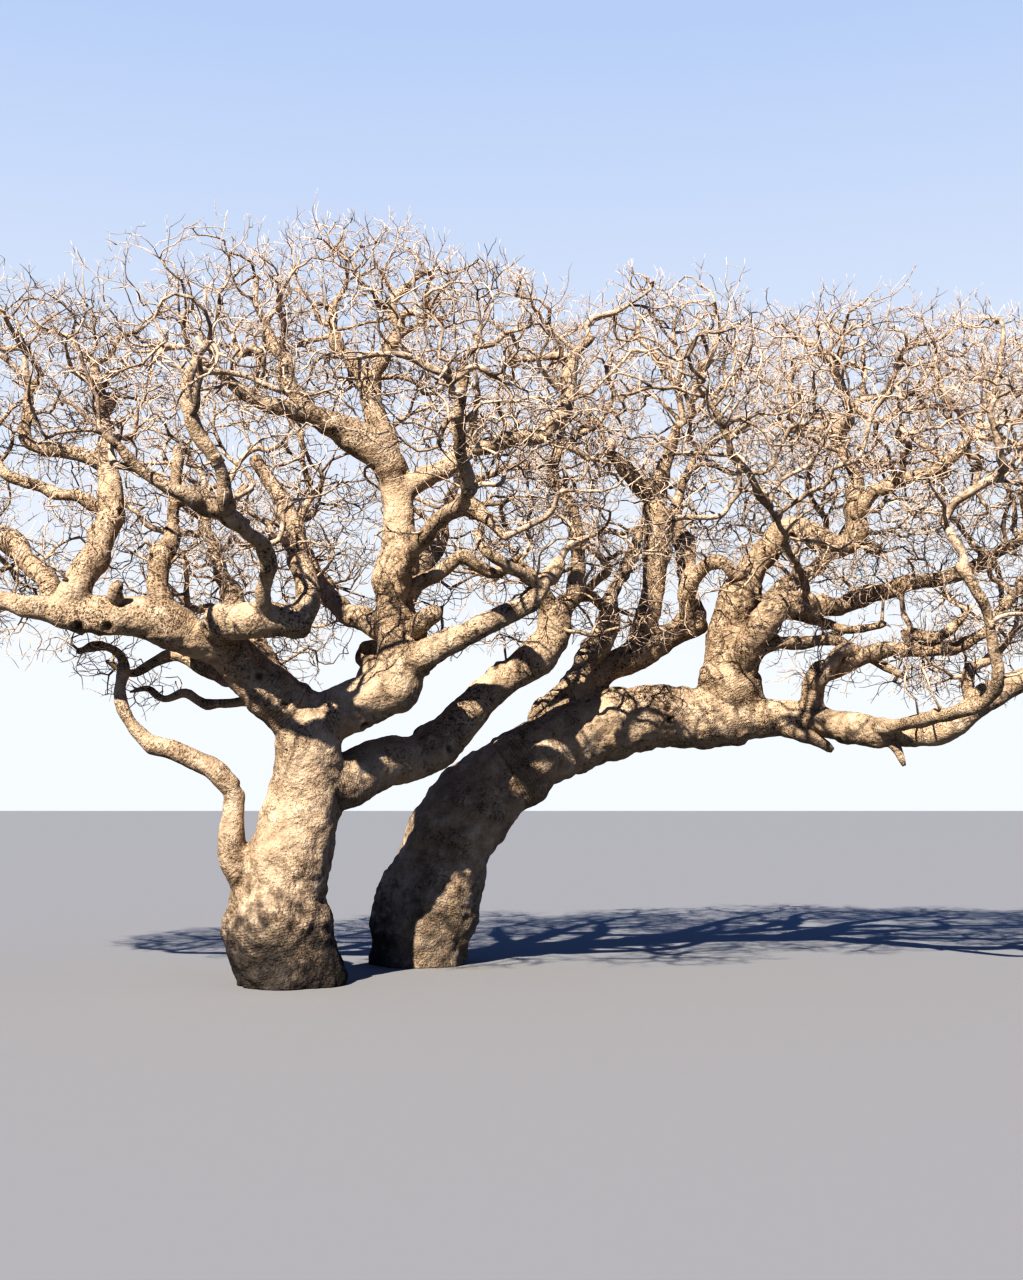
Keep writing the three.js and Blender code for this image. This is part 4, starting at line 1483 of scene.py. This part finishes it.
@dataclass
class Colony:
    """Branches that grow from the limbs towards points scattered through the twig masses.

    Each scattered point pulls the nearest branch end towards it, and falls away once a branch
    has come close. A coarse round grows the inner boughs, a middle one the branches and a fine
    one the twigs. Then each radius comes from the twigs beyond it: its power sums theirs.

    No branch starts below lowest_start. shoot_share and spire_share are how many thin branches
    get a side shoot and how many outer ends go on as a spire, of those between spire_from and
    spire_top. The steps of both and of the tips differ between two lengths, a share of them
    forks, and waver is how much they stray. A fork goes aside by fork_aside, the tips and their
    forks turn by tip_strays, and a shoot keeps shoot_keep of its branch's heading. The lifts are
    pulls upward and tip_out one outward, away from a point low_middle of the half height below a
    mass's middle. foot_share is how thick a branch may be for its limb, and collar how thick a
    side branch's foot may be for its parent and for itself. thinning and beam_thinning are how
    much of the points in a gap and in a beam is left out.
    """

    skeleton: Skeleton
    masses: list[Mass]
    eye: tuple
    coarse: Habit = Habit(2000, 0.0, 0.15, 2.6, 0.43, 0.6, 0.95, 0.2, 0.25, 0.2)
    middle: Habit = Habit(8500, 0.3, 0.10, 0.9, 0.215, 0.5, 0.75, 0.2, 0.3, 0.22)
    fine: Habit = Habit(46500, 0.8, 0.07, 0.5, 0.098, 0.45, 0.6, 0.2, 0.3, 0.12)
    tip_radius: float = 0.0029
    power: float = 1.9
    lowest_start: float = 2.6
    shoot_share: float = 0.3
    spire_share: float = 0.3
    spire_top: float = 7.98
    spire_from: float = 5.0
    outermost: float = 0.86
    thinning: float = 0.88
    beam_thinning: float = 0.8
    spire_steps: int = 3
    spire_step: tuple = (0.06, 0.09)
    fork_step: tuple = (0.05, 0.09)
    tip_steps: int = 2
    tip_step: tuple = (0.05, 0.1)
    shoot_step: tuple = (0.04, 0.1)
    fork_share: float = 0.5
    waver: float = 0.3
    most_rounds: int = 140
    most_children: int = 3
    foot_share: float = 0.72
    shoot_load: float = 0.3
    low_middle: float = 0.8
    spire_lift: float = 0.03
    fork_aside: float = 0.9
    tip_strays: tuple = (0.25, 0.65)
    tip_lift: float = 0.1
    tip_out: float = 0.12
    shoot_keep: float = 0.5
    shoot_lift: float = 0.2
    collar: tuple = (0.9, 1.35)

    def grow(self) -> None:
        """Grows the three rounds, the spires, tips and shoots, and works out the radii."""
        self.rng = np.random.default_rng(SEED)
        seeds, sizes = [], []
        for line in self.skeleton.lines.values():
            keep = np.arange(0, len(line.points), 3)
            keep = keep[line.points[keep, 2] > self.lowest_start]
            seeds.append(line.points[keep])
            sizes.append(line.radii[keep])
        self.points = np.vstack(seeds)
        self.seed_radii = np.concatenate(sizes)
        self.seeds = len(self.points)
        self.parent = np.full(self.seeds, -1)
        self.heading = np.zeros((self.seeds, 3))
        self.turn = unit(self.rng.normal(size=(self.seeds, 3)))
        self.kids = np.zeros(self.seeds, int)
        self.rounds: list[slice] = []
        for habit in (self.coarse, self.middle, self.fine):
            self._round(habit)
            LOG.info("branches: %d points", len(self.points) - self.seeds)
        self._spires()
        self._tips()
        self._shoots()
        self._radii()
        LOG.info("twigs: %d points", len(self.points) - self.seeds)

    def _scatter(self, habit: Habit) -> np.ndarray:
        """Scatters points through the masses, and leaves the gaps open.

        Args:
            habit: how many, and how much denser near the surface.

        Returns:
            The points.
        """
        sizes = np.array([np.prod(m.half) * m.weight for m in self.masses])
        made = []
        for mass, share in zip(self.masses, sizes / sizes.sum()):
            many = int(round(habit.points * share))
            out = self.rng.random(many) ** (1 / (3 + 3 * habit.shell))
            way = unit(self.rng.normal(size=(many, 3)))
            made.append(mass.middle + way * out[:, None] * mass.half)
        wanted = np.vstack(made)
        open_air = np.zeros(len(wanted), bool)
        for gap in GAPS:
            open_air |= gap.holds(wanted, np.array(self.eye), GAP_PLANE)
        open_air &= self.rng.random(len(wanted)) < self.thinning
        lit = np.any([beam.holds(wanted) for beam in BEAMS], axis=0)
        open_air |= lit & (self.rng.random(len(wanted)) < self.beam_thinning)
        return wanted[~open_air]

    def _outward(self, places: np.ndarray) -> np.ndarray:
        """The way out of the crown, away from the low middle of the mass around each place.

        Args:
            places: rows of x, y, z.

        Returns:
            Directions of length one.
        """
        rooms = [m for m in self.masses if m.name.startswith("crown_")]
        which = np.stack([m.share(places) for m in rooms]).argmin(0)
        middles = np.stack([m.middle - [0, 0, self.low_middle * m.half[2]] for m in rooms])
        return unit((places - middles[which]) / np.stack([m.half for m in rooms])[which])

    def _add(self, ends: np.ndarray, way: np.ndarray, step: object, turn: np.ndarray) -> slice:
        """Adds one new point to each of some branch ends.

        Args:
            ends: the points that grow.
            way: the direction of each step.
            step: the length of each step.
            turn: the bend that each new point carries on.

        Returns:
            Where the new points are.
        """
        first = len(self.points)
        self.points = np.vstack([self.points, self.points[ends] + way * step])
        self.parent = np.concatenate([self.parent, ends])
        self.heading = np.vstack([self.heading, way])
        self.turn = np.vstack([self.turn, turn])
        self.kids[ends] += 1
        self.kids = np.concatenate([self.kids, np.zeros(len(ends), int)])
        self.rounds.append(slice(first, len(self.points)))
        return self.rounds[-1]

    def _round(self, habit: Habit) -> None:
        """One round of growth.

        Args:
            habit: how the branches grow.
        """
        wanted = self._scatter(habit)
        nearest, gap = self._closest(wanted, self.points)
        for _ in range(self.most_rounds):
            live = gap > habit.done
            wanted, nearest, gap = wanted[live], nearest[live], gap[live]
            pulls = (gap < habit.reach) & (self.kids[nearest] < self.most_children)
            if not pulls.any():
                break
            toward = (wanted[pulls] - self.points[nearest[pulls]]) / gap[pulls, None]
            ends, which = np.unique(nearest[pulls], return_inverse=True)
            pull = np.stack([np.bincount(which, toward[:, k], len(ends)) for k in range(3)], axis=1)
            fresh_turn = unit(self.rng.normal(size=pull.shape))
            going_on = self.rng.random((len(ends), 1)) < habit.hold
            turn = np.where(going_on, self.turn[ends], fresh_turn)
            way = unit(pull) + habit.keep * self.heading[ends] + habit.stray * turn + [0, 0, habit.lift]
            way += habit.out * self._outward(self.points[ends])
            new = self._add(ends, unit(way), habit.step, turn)
            near, far = self._closest(wanted, self.points[new])
            closer = far < gap
            nearest[closer] = new.start + near[closer]
            gap[closer] = far[closer]

    @staticmethod
    def _closest(places: np.ndarray, others: np.ndarray) -> tuple:
        """The nearest of the others to each place.

        Args:
            places: rows of x, y, z.
            others: rows of x, y, z.

        Returns:
            Which one is nearest, and how far it is.
        """
        best = np.empty(len(places), int)
        gap = np.empty(len(places))
        squares = (others ** 2).sum(1)
        for low in range(0, len(places), ROWS_AT_ONCE):
            part = places[low:low + ROWS_AT_ONCE]
            far = squares[None] - 2 * part @ others.T + (part ** 2).sum(1)[:, None]
            best[low:low + ROWS_AT_ONCE] = far.argmin(1)
            gap[low:low + ROWS_AT_ONCE] = np.sqrt(np.maximum(far.min(1), 1e-10))
        return best, gap

    def _spires(self) -> None:
        """Sends some outer ends on as longer shoots, which stand out of the crown."""
        rng = self.rng
        ends = np.flatnonzero(self.kids == 0)
        ends = ends[ends >= self.seeds]
        rooms = [m for m in self.masses if m.name.startswith("crown_")]
        share = np.stack([m.share(self.points[ends]) for m in rooms]).min(0)
        high = self.points[ends, 2] > self.spire_from
        at = ends[(share > self.outermost) & high & (rng.random(len(ends)) < self.spire_share)]
        at = at[self.points[at, 2] < self.spire_top]
        way = unit(self.heading[at] + self._outward(self.points[at]))
        for _ in range(self.spire_steps):
            way = unit(way + rng.normal(size=way.shape) * self.waver + [0, 0, self.spire_lift])
            new = self._add(at, way, rng.uniform(*self.spire_step, (len(at), 1)), way)
            at = np.arange(new.start, new.stop)
            fork = rng.random(len(at)) < self.fork_share
            aside = unit(way[fork] + unit(rng.normal(size=(int(fork.sum()), 3))) * self.fork_aside)
            self._add(at[fork], aside, rng.uniform(*self.fork_step, (len(aside), 1)), aside)

    def _tips(self) -> None:
        """Lengthens each end by a few short steps that curl upward, some of them forked."""
        rng = self.rng
        ends = np.flatnonzero(self.kids == 0)
        ends = ends[ends >= self.seeds]
        for fork in range(2):
            at = ends if fork == 0 else ends[rng.random(len(ends)) < self.fork_share]
            way = unit(self.heading[at] + rng.normal(size=(len(at), 3)) * self.tip_strays[fork])
            for _ in range(self.tip_steps):
                way = unit(way + [0, 0, self.tip_lift] + rng.normal(size=way.shape) * self.waver)
                way = unit(way + self.tip_out * self._outward(self.points[at]))
                new = self._add(at, way, rng.uniform(*self.tip_step, (len(at), 1)), way)
                at = np.arange(new.start, new.stop)

    def _shoots(self) -> None:
        """Puts short shoots on the sides of the thin branches."""
        rng = self.rng
        thin = np.flatnonzero(self.kids == 1)
        thin = thin[thin >= self.rounds[0].stop]
        at = thin[rng.random(len(thin)) < self.shoot_share]
        side = unit(np.cross(self.heading[at], rng.normal(size=(len(at), 3))))
        way = unit(side + self.shoot_keep * self.heading[at] + [0, 0, self.shoot_lift])
        new = self._add(at, way, rng.uniform(*self.shoot_step, (len(at), 1)), way)
        self.kids[at] -= 1
        self.shoots = new

    def _radii(self) -> None:
        """Works out each radius from the twigs beyond it, ends first, and never above its parent's."""
        load = np.where(self.kids == 0, self.tip_radius ** self.power, 0.0)
        load[: self.seeds] = 0
        load[self.shoots] *= self.shoot_load
        for part in reversed(self.rounds):
            up = self.parent[part]
            load += np.bincount(up, load[part], len(load))
        self.radii = load ** (1 / self.power)
        self.radii[: self.seeds] = self.seed_radii
        for part in self.rounds:
            up = self.parent[part]
            most = self.radii[up] * np.where(up < self.seeds, self.foot_share, 1.0)
            self.radii[part] = np.minimum(self.radii[part], most)

    def chains(self, levels: tuple) -> tuple:
        """Splits the branches into chains, each following the thickest child.

        A chain starts with its parent's point, so that its foot is inside the parent. It ends
        where its radius falls under one of the levels, and a new chain goes on from there.

        Args:
            levels: the radii that chains don't cross.

        Returns:
            The chains, which level each has, and each chain's first own point.
        """
        grown = np.arange(self.seeds, len(self.points))
        level = np.searchsorted(np.array(levels), self.radii)
        order = grown[np.lexsort((self.radii[grown], self.parent[grown]))]
        last = np.ones(len(order), bool)
        last[:-1] = self.parent[order][1:] != self.parent[order][:-1]
        thickest = order[last]
        thickest = thickest[self.parent[thickest] >= self.seeds]
        going_on = thickest[level[thickest] == level[self.parent[thickest]]]
        heir = np.full(len(self.points), -1)
        heir[self.parent[going_on]] = going_on
        is_heir = np.zeros(len(self.points), bool)
        is_heir[going_on] = True
        carries_on = np.zeros(len(self.points), bool)
        carries_on[thickest] = True
        heads = grown[~is_heir[grown]]
        numbers = np.arange(len(heads))
        layers = [(numbers, self.parent[heads]), (numbers, heads)]
        chain, at = numbers, heads
        while len(at):
            after = heir[at]
            chain, at = chain[after >= 0], after[after >= 0]
            layers.append((chain, at))
        which = np.concatenate([layer[0] for layer in layers])
        node = np.concatenate([layer[1] for layer in layers])
        depth = np.concatenate([np.full(len(layer[0]), k) for k, layer in enumerate(layers)])
        order = np.lexsort((depth, which))
        node, lengths = node[order], np.bincount(which)
        starts = np.cumsum(lengths) - lengths
        radii = self.radii[node].copy()
        collar = np.minimum(radii[starts] * self.collar[0], radii[starts + 1] * self.collar[1])
        radii[starts] = np.where(carries_on[heads], radii[starts + 1], collar)
        made = Chains(self.points[node], radii, np.zeros(len(node)), starts, lengths)
        return made, level[heads], heads


@dataclass
class Crown:
    """The grown branches as pieces: boughs, branches and twigs for each mass.

    levels are the radii that part twigs, branches and boughs, sides how many sides each has, and
    least_radius how thick a twig's end is. knobbly is how much a branch's radius varies, and
    crooked how far its points are bent aside, in radii and at most in metres. tone is the twigs'
    middle tone, tone_swing how far a spray's differs and tone_stray how far a single twig's.
    """

    colony: Colony
    levels: tuple = (0.0078, 0.02)
    sides: tuple = (3, 5, 8)
    least_radius: float = 0.002
    knobbly: float = 0.2
    crooked: tuple = (0.7, 0.014)
    tone: float = 0.42
    tone_swing: float = 0.4
    tone_stray: float = 0.2
    spray_size: float = 0.45
    knob_size: float = 0.12
    bend_size: float = 0.15

    def build(self, bark: bpy.types.Material, twigs: list) -> None:
        """Makes all pieces of the crown.

        Args:
            bark: the finish of the inner boughs.
            twigs: the finishes of the twigs.
        """
        chains, level, heads = self.colony.chains(self.levels)
        ends = chains.starts + chains.lengths - 1
        thin = level == 0
        chains.radii[ends[thin]] = np.minimum(chains.radii[ends[thin]], self.least_radius)
        foot = self.colony.points[heads]
        rooms = [m for m in self.colony.masses if m.name.startswith("crown_")]
        nearest = np.stack([m.share(foot) for m in rooms]).argmin(0)
        rng = np.random.default_rng(SEED + 1)
        # A spray's tone picks its twig finish; the paler and darker finishes carry painted light and shade,
        # dealt out at random.
        spray = self.tone + self.tone_swing * lattice_noise(foot, self.spray_size, Pattern.SPRAY)
        tones = spray + rng.normal(size=len(foot)) * self.tone_stray
        chains.tones = np.repeat(np.clip(tones, 0, 0.999), chains.lengths)
        for number, mass in enumerate(rooms):
            mine = nearest == number
            name = mass.name.removeprefix("crown_")
            boughs = chains.picked(mine & (level == 2)).refined()
            self._piece("boughs_" + name, boughs, self.sides[2], [bark])
            self._piece("branches_" + name, chains.picked(mine & (level == 1)), self.sides[1], [bark])
            fine = self._piece("twigs_" + name, chains.picked(mine & (level == 0)), self.sides[0], twigs)
            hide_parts(mass.name)

    def _piece(self, name: str, chains: Chains, sides: int, finishes: list) -> bpy.types.Object:
        """Makes one piece of some chains.

        Args:
            name: the piece's name.
            chains: the chains.
            sides: how many sides a tube has.
            finishes: the materials.

        Returns:
            The piece.
        """
        knobs = lattice_noise(chains.points, self.knob_size, Pattern.TWIG_WIDTH)
        chains.radii = chains.radii * (1 + self.knobbly * knobs)
        most = np.minimum(chains.radii * self.crooked[0], self.crooked[1])
        bend = wander(chains.points, self.bend_size, Pattern.TWIG_BEND) * most[:, None]
        chains.points = chains.points + bend
        faces = chains.swept(sides)
        piece = make_piece(name, faces, finishes)
        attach(piece, BODY)
        LOG.info("%s: %d triangles", name, faces.triangles())
        return piece


@dataclass
class InnerBoughs:
    """The boughs that show inside the masses, as tubes with lumps and dents, given in radii.

    tip_shares narrows the last two rings, and creased is how deep the creases are, in relief
    and in painted shade. These boughs get no painted shade in hollows.
    """

    skeleton: Skeleton
    sides: int = 16
    lumps: float = 0.17
    dents: float = 0.08
    tip_shares: tuple = (0.85, 0.55)
    creased: float = 0.12
    lump_size: float = 0.14
    dent_size: float = 0.05

    def build(self, finish: bpy.types.Material) -> bpy.types.Object:
        """Makes the piece.

        Args:
            finish: the bark material.

        Returns:
            The piece.
        """
        lines = [self.skeleton.lines[plan.name] for plan in INNER]
        for line in lines:
            line.radii[-2:] *= self.tip_shares
        chains = joined(lines)
        faces = chains.swept(self.sides)
        middle = np.repeat(chains.points, self.sides, axis=0)
        size = np.repeat(chains.radii, self.sides)
        relief = self.lumps * lattice_noise(faces.places, self.lump_size, Pattern.LUMPS)
        relief = relief + self.dents * lattice_noise(faces.places, self.dent_size, Pattern.DENTS)
        faces.places += unit(faces.places - middle) * (relief * size)[:, None]
        piece = make_piece("inner_boughs", faces, [finish])
        walked = np.concatenate([line.walked for line in lines])
        keep_values(piece, "along", np.repeat(walked, self.sides))
        keep_values(piece, "crease", np.full(len(faces.places), self.creased))
        keep_values(piece, "hollow", np.zeros(len(faces.places)))
        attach(piece, BODY)
        LOG.info("inner_boughs: %d triangles", faces.triangles())
        return piece


@dataclass
class Studio:
    """A plain pale floor, soft light, and the camera at the photograph's place.

    The air is high_air down to high_air_from and low_air below low_air_to, both heights of a
    line of sight of length one, and has the strength air as seen. Its light is air_glow with
    the strength air_light. The floor is floor_colour as seen and floor_glow in the light that it
    throws up. pitch and key_softness are in degrees, and lens and sensor in millimetres.
    """

    eye: tuple = (2.15, -15.0, 1.72)
    pitch: float = 6.39
    lens: float = 42.2
    floor_size: float = 1800.0
    floor_roughness: float = 0.95
    floor_colour: tuple = (0.28, 0.275, 0.27)
    floor_glow: tuple = (0.13, 0.135, 0.14)
    high_air: tuple = (0.575, 0.695, 0.93)
    low_air: tuple = (0.93, 0.96, 1.0)
    high_air_from: float = 0.48
    low_air_to: float = 0.1
    air: float = 0.6
    air_light: float = 0.36
    air_glow: tuple = (0.3, 0.5, 1.0)
    key: float = 5.35
    key_softness: float = 0.7
    key_colour: tuple = (1.0, 0.935, 0.835)
    sensor: float = 36.0
    farthest: float = 2000.0

    def build(self) -> None:
        """Makes the floor, the lights and the camera."""
        self._camera()
        self._floor()
        self._lamp("key", tuple(TOWARD_LAMP), self.key, self.key_softness, self.key_colour)
        self._air()
        bpy.context.scene.view_settings.view_transform = "Standard"
        bpy.context.scene.view_settings.look = "Very High Contrast"

    def _air(self) -> None:
        """Makes the pale blue air, whiter lower down: as seen it is brighter than its light."""
        world = bpy.data.worlds.new("air")
        bpy.context.scene.world = world
        world.use_nodes = True
        nodes = Nodes(world.node_tree)
        back = nodes.tree.nodes["Background"]
        toward = nodes.node("ShaderNodeTexCoord", {}, out="Generated")
        upward = nodes.node("ShaderNodeSeparateXYZ", {}, toward, out="Z")
        share = nodes.node("ShaderNodeMapRange", {}, upward, self.low_air_to, self.high_air_from)
        seen = nodes.node("ShaderNodeLightPath", {}, out="Is Camera Ray")
        air = nodes.mix(share, self.low_air, self.high_air)
        nodes.put(back.inputs["Color"], nodes.mix(seen, self.air_glow, air))
        strength = nodes.node("ShaderNodeMapRange", {}, seen, 0.0, 1.0, self.air_light, self.air)
        nodes.put(back.inputs["Strength"], strength)

    def _camera(self) -> None:
        """Puts the camera where the photograph was taken from."""
        data = bpy.data.cameras.new("camera")
        data.lens = self.lens
        data.sensor_width = self.sensor
        data.clip_end = self.farthest
        camera = bpy.data.objects.new("camera", data)
        camera.location = self.eye
        camera.rotation_euler = (math.radians(90 + self.pitch), 0, 0)
        bpy.context.scene.collection.objects.link(camera)
        bpy.context.scene.camera = camera

    def _floor(self) -> None:
        """Lays the floor."""
        half = self.floor_size / 2
        corners = [(-half, -half, 0), (half, -half, 0), (half, half, 0), (-half, half, 0)]
        mesh = bpy.data.meshes.new("floor")
        mesh.from_pydata(corners, [], [(0, 1, 2, 3)])
        paint = Paint("floor", self.floor_roughness)
        seen = paint.node("ShaderNodeLightPath", {}, out="Is Camera Ray")
        colour = paint.mix(seen, self.floor_glow, self.floor_colour)
        paint.put(paint.shader.inputs["Base Color"], colour)
        mesh.materials.append(paint.material)
        floor = bpy.data.objects.new("floor", mesh)
        bpy.context.scene.collection.objects.link(floor)

    @staticmethod
    def _lamp(name: str, toward: tuple, strength: float, softness: float, colour: tuple) -> None:
        """Adds a distant soft lamp.

        Args:
            name: its name.
            toward: the direction from the tree to the lamp.
            strength: its strength.
            softness: its apparent width in degrees.
            colour: its colour.
        """
        data = bpy.data.lights.new(name, "SUN")
        data.energy = strength
        data.angle = math.radians(softness)
        data.color = colour
        lamp = bpy.data.objects.new(name, data)
        lamp.rotation_euler = Vector(toward).to_track_quat("Z", "Y").to_euler()
        bpy.context.scene.collection.objects.link(lamp)


def masses_of_frame() -> list:
    """The rooms of the twig masses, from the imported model's boxes.

    Returns:
        One Mass for each crown node.
    """
    made = []
    for name in sorted(frame["nodes"]):
        if name.startswith("crown_"):
            low, high = (np.array(corner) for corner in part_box(name))
            weight = INNER_WEIGHT
            if "front" in name:
                weight = FRONT_WEIGHT
            elif "back" in name:
                weight = BACK_WEIGHT
            made.append(Mass(name, (low + high) / 2, (high - low) / 2 * ROOM_SHARE, weight))
    return made


def main() -> None:
    """Builds the tree and its stage."""
    logging.basicConfig(level=logging.INFO, format="%(message)s")
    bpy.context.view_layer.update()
    studio = Studio()
    studio.build()
    bark = BarkFinish().build()
    skeleton = Skeleton()
    for side in Side:
        BarkSkin(skeleton, side).build(bark)
    colony = Colony(skeleton, [*masses_of_frame(), *THICKETS], studio.eye)
    colony.grow()
    InnerBoughs(skeleton).build(bark)
    Crown(colony).build(BoughFinish().build(), TwigFinish().build())


if __name__ == "__main__":
    main()
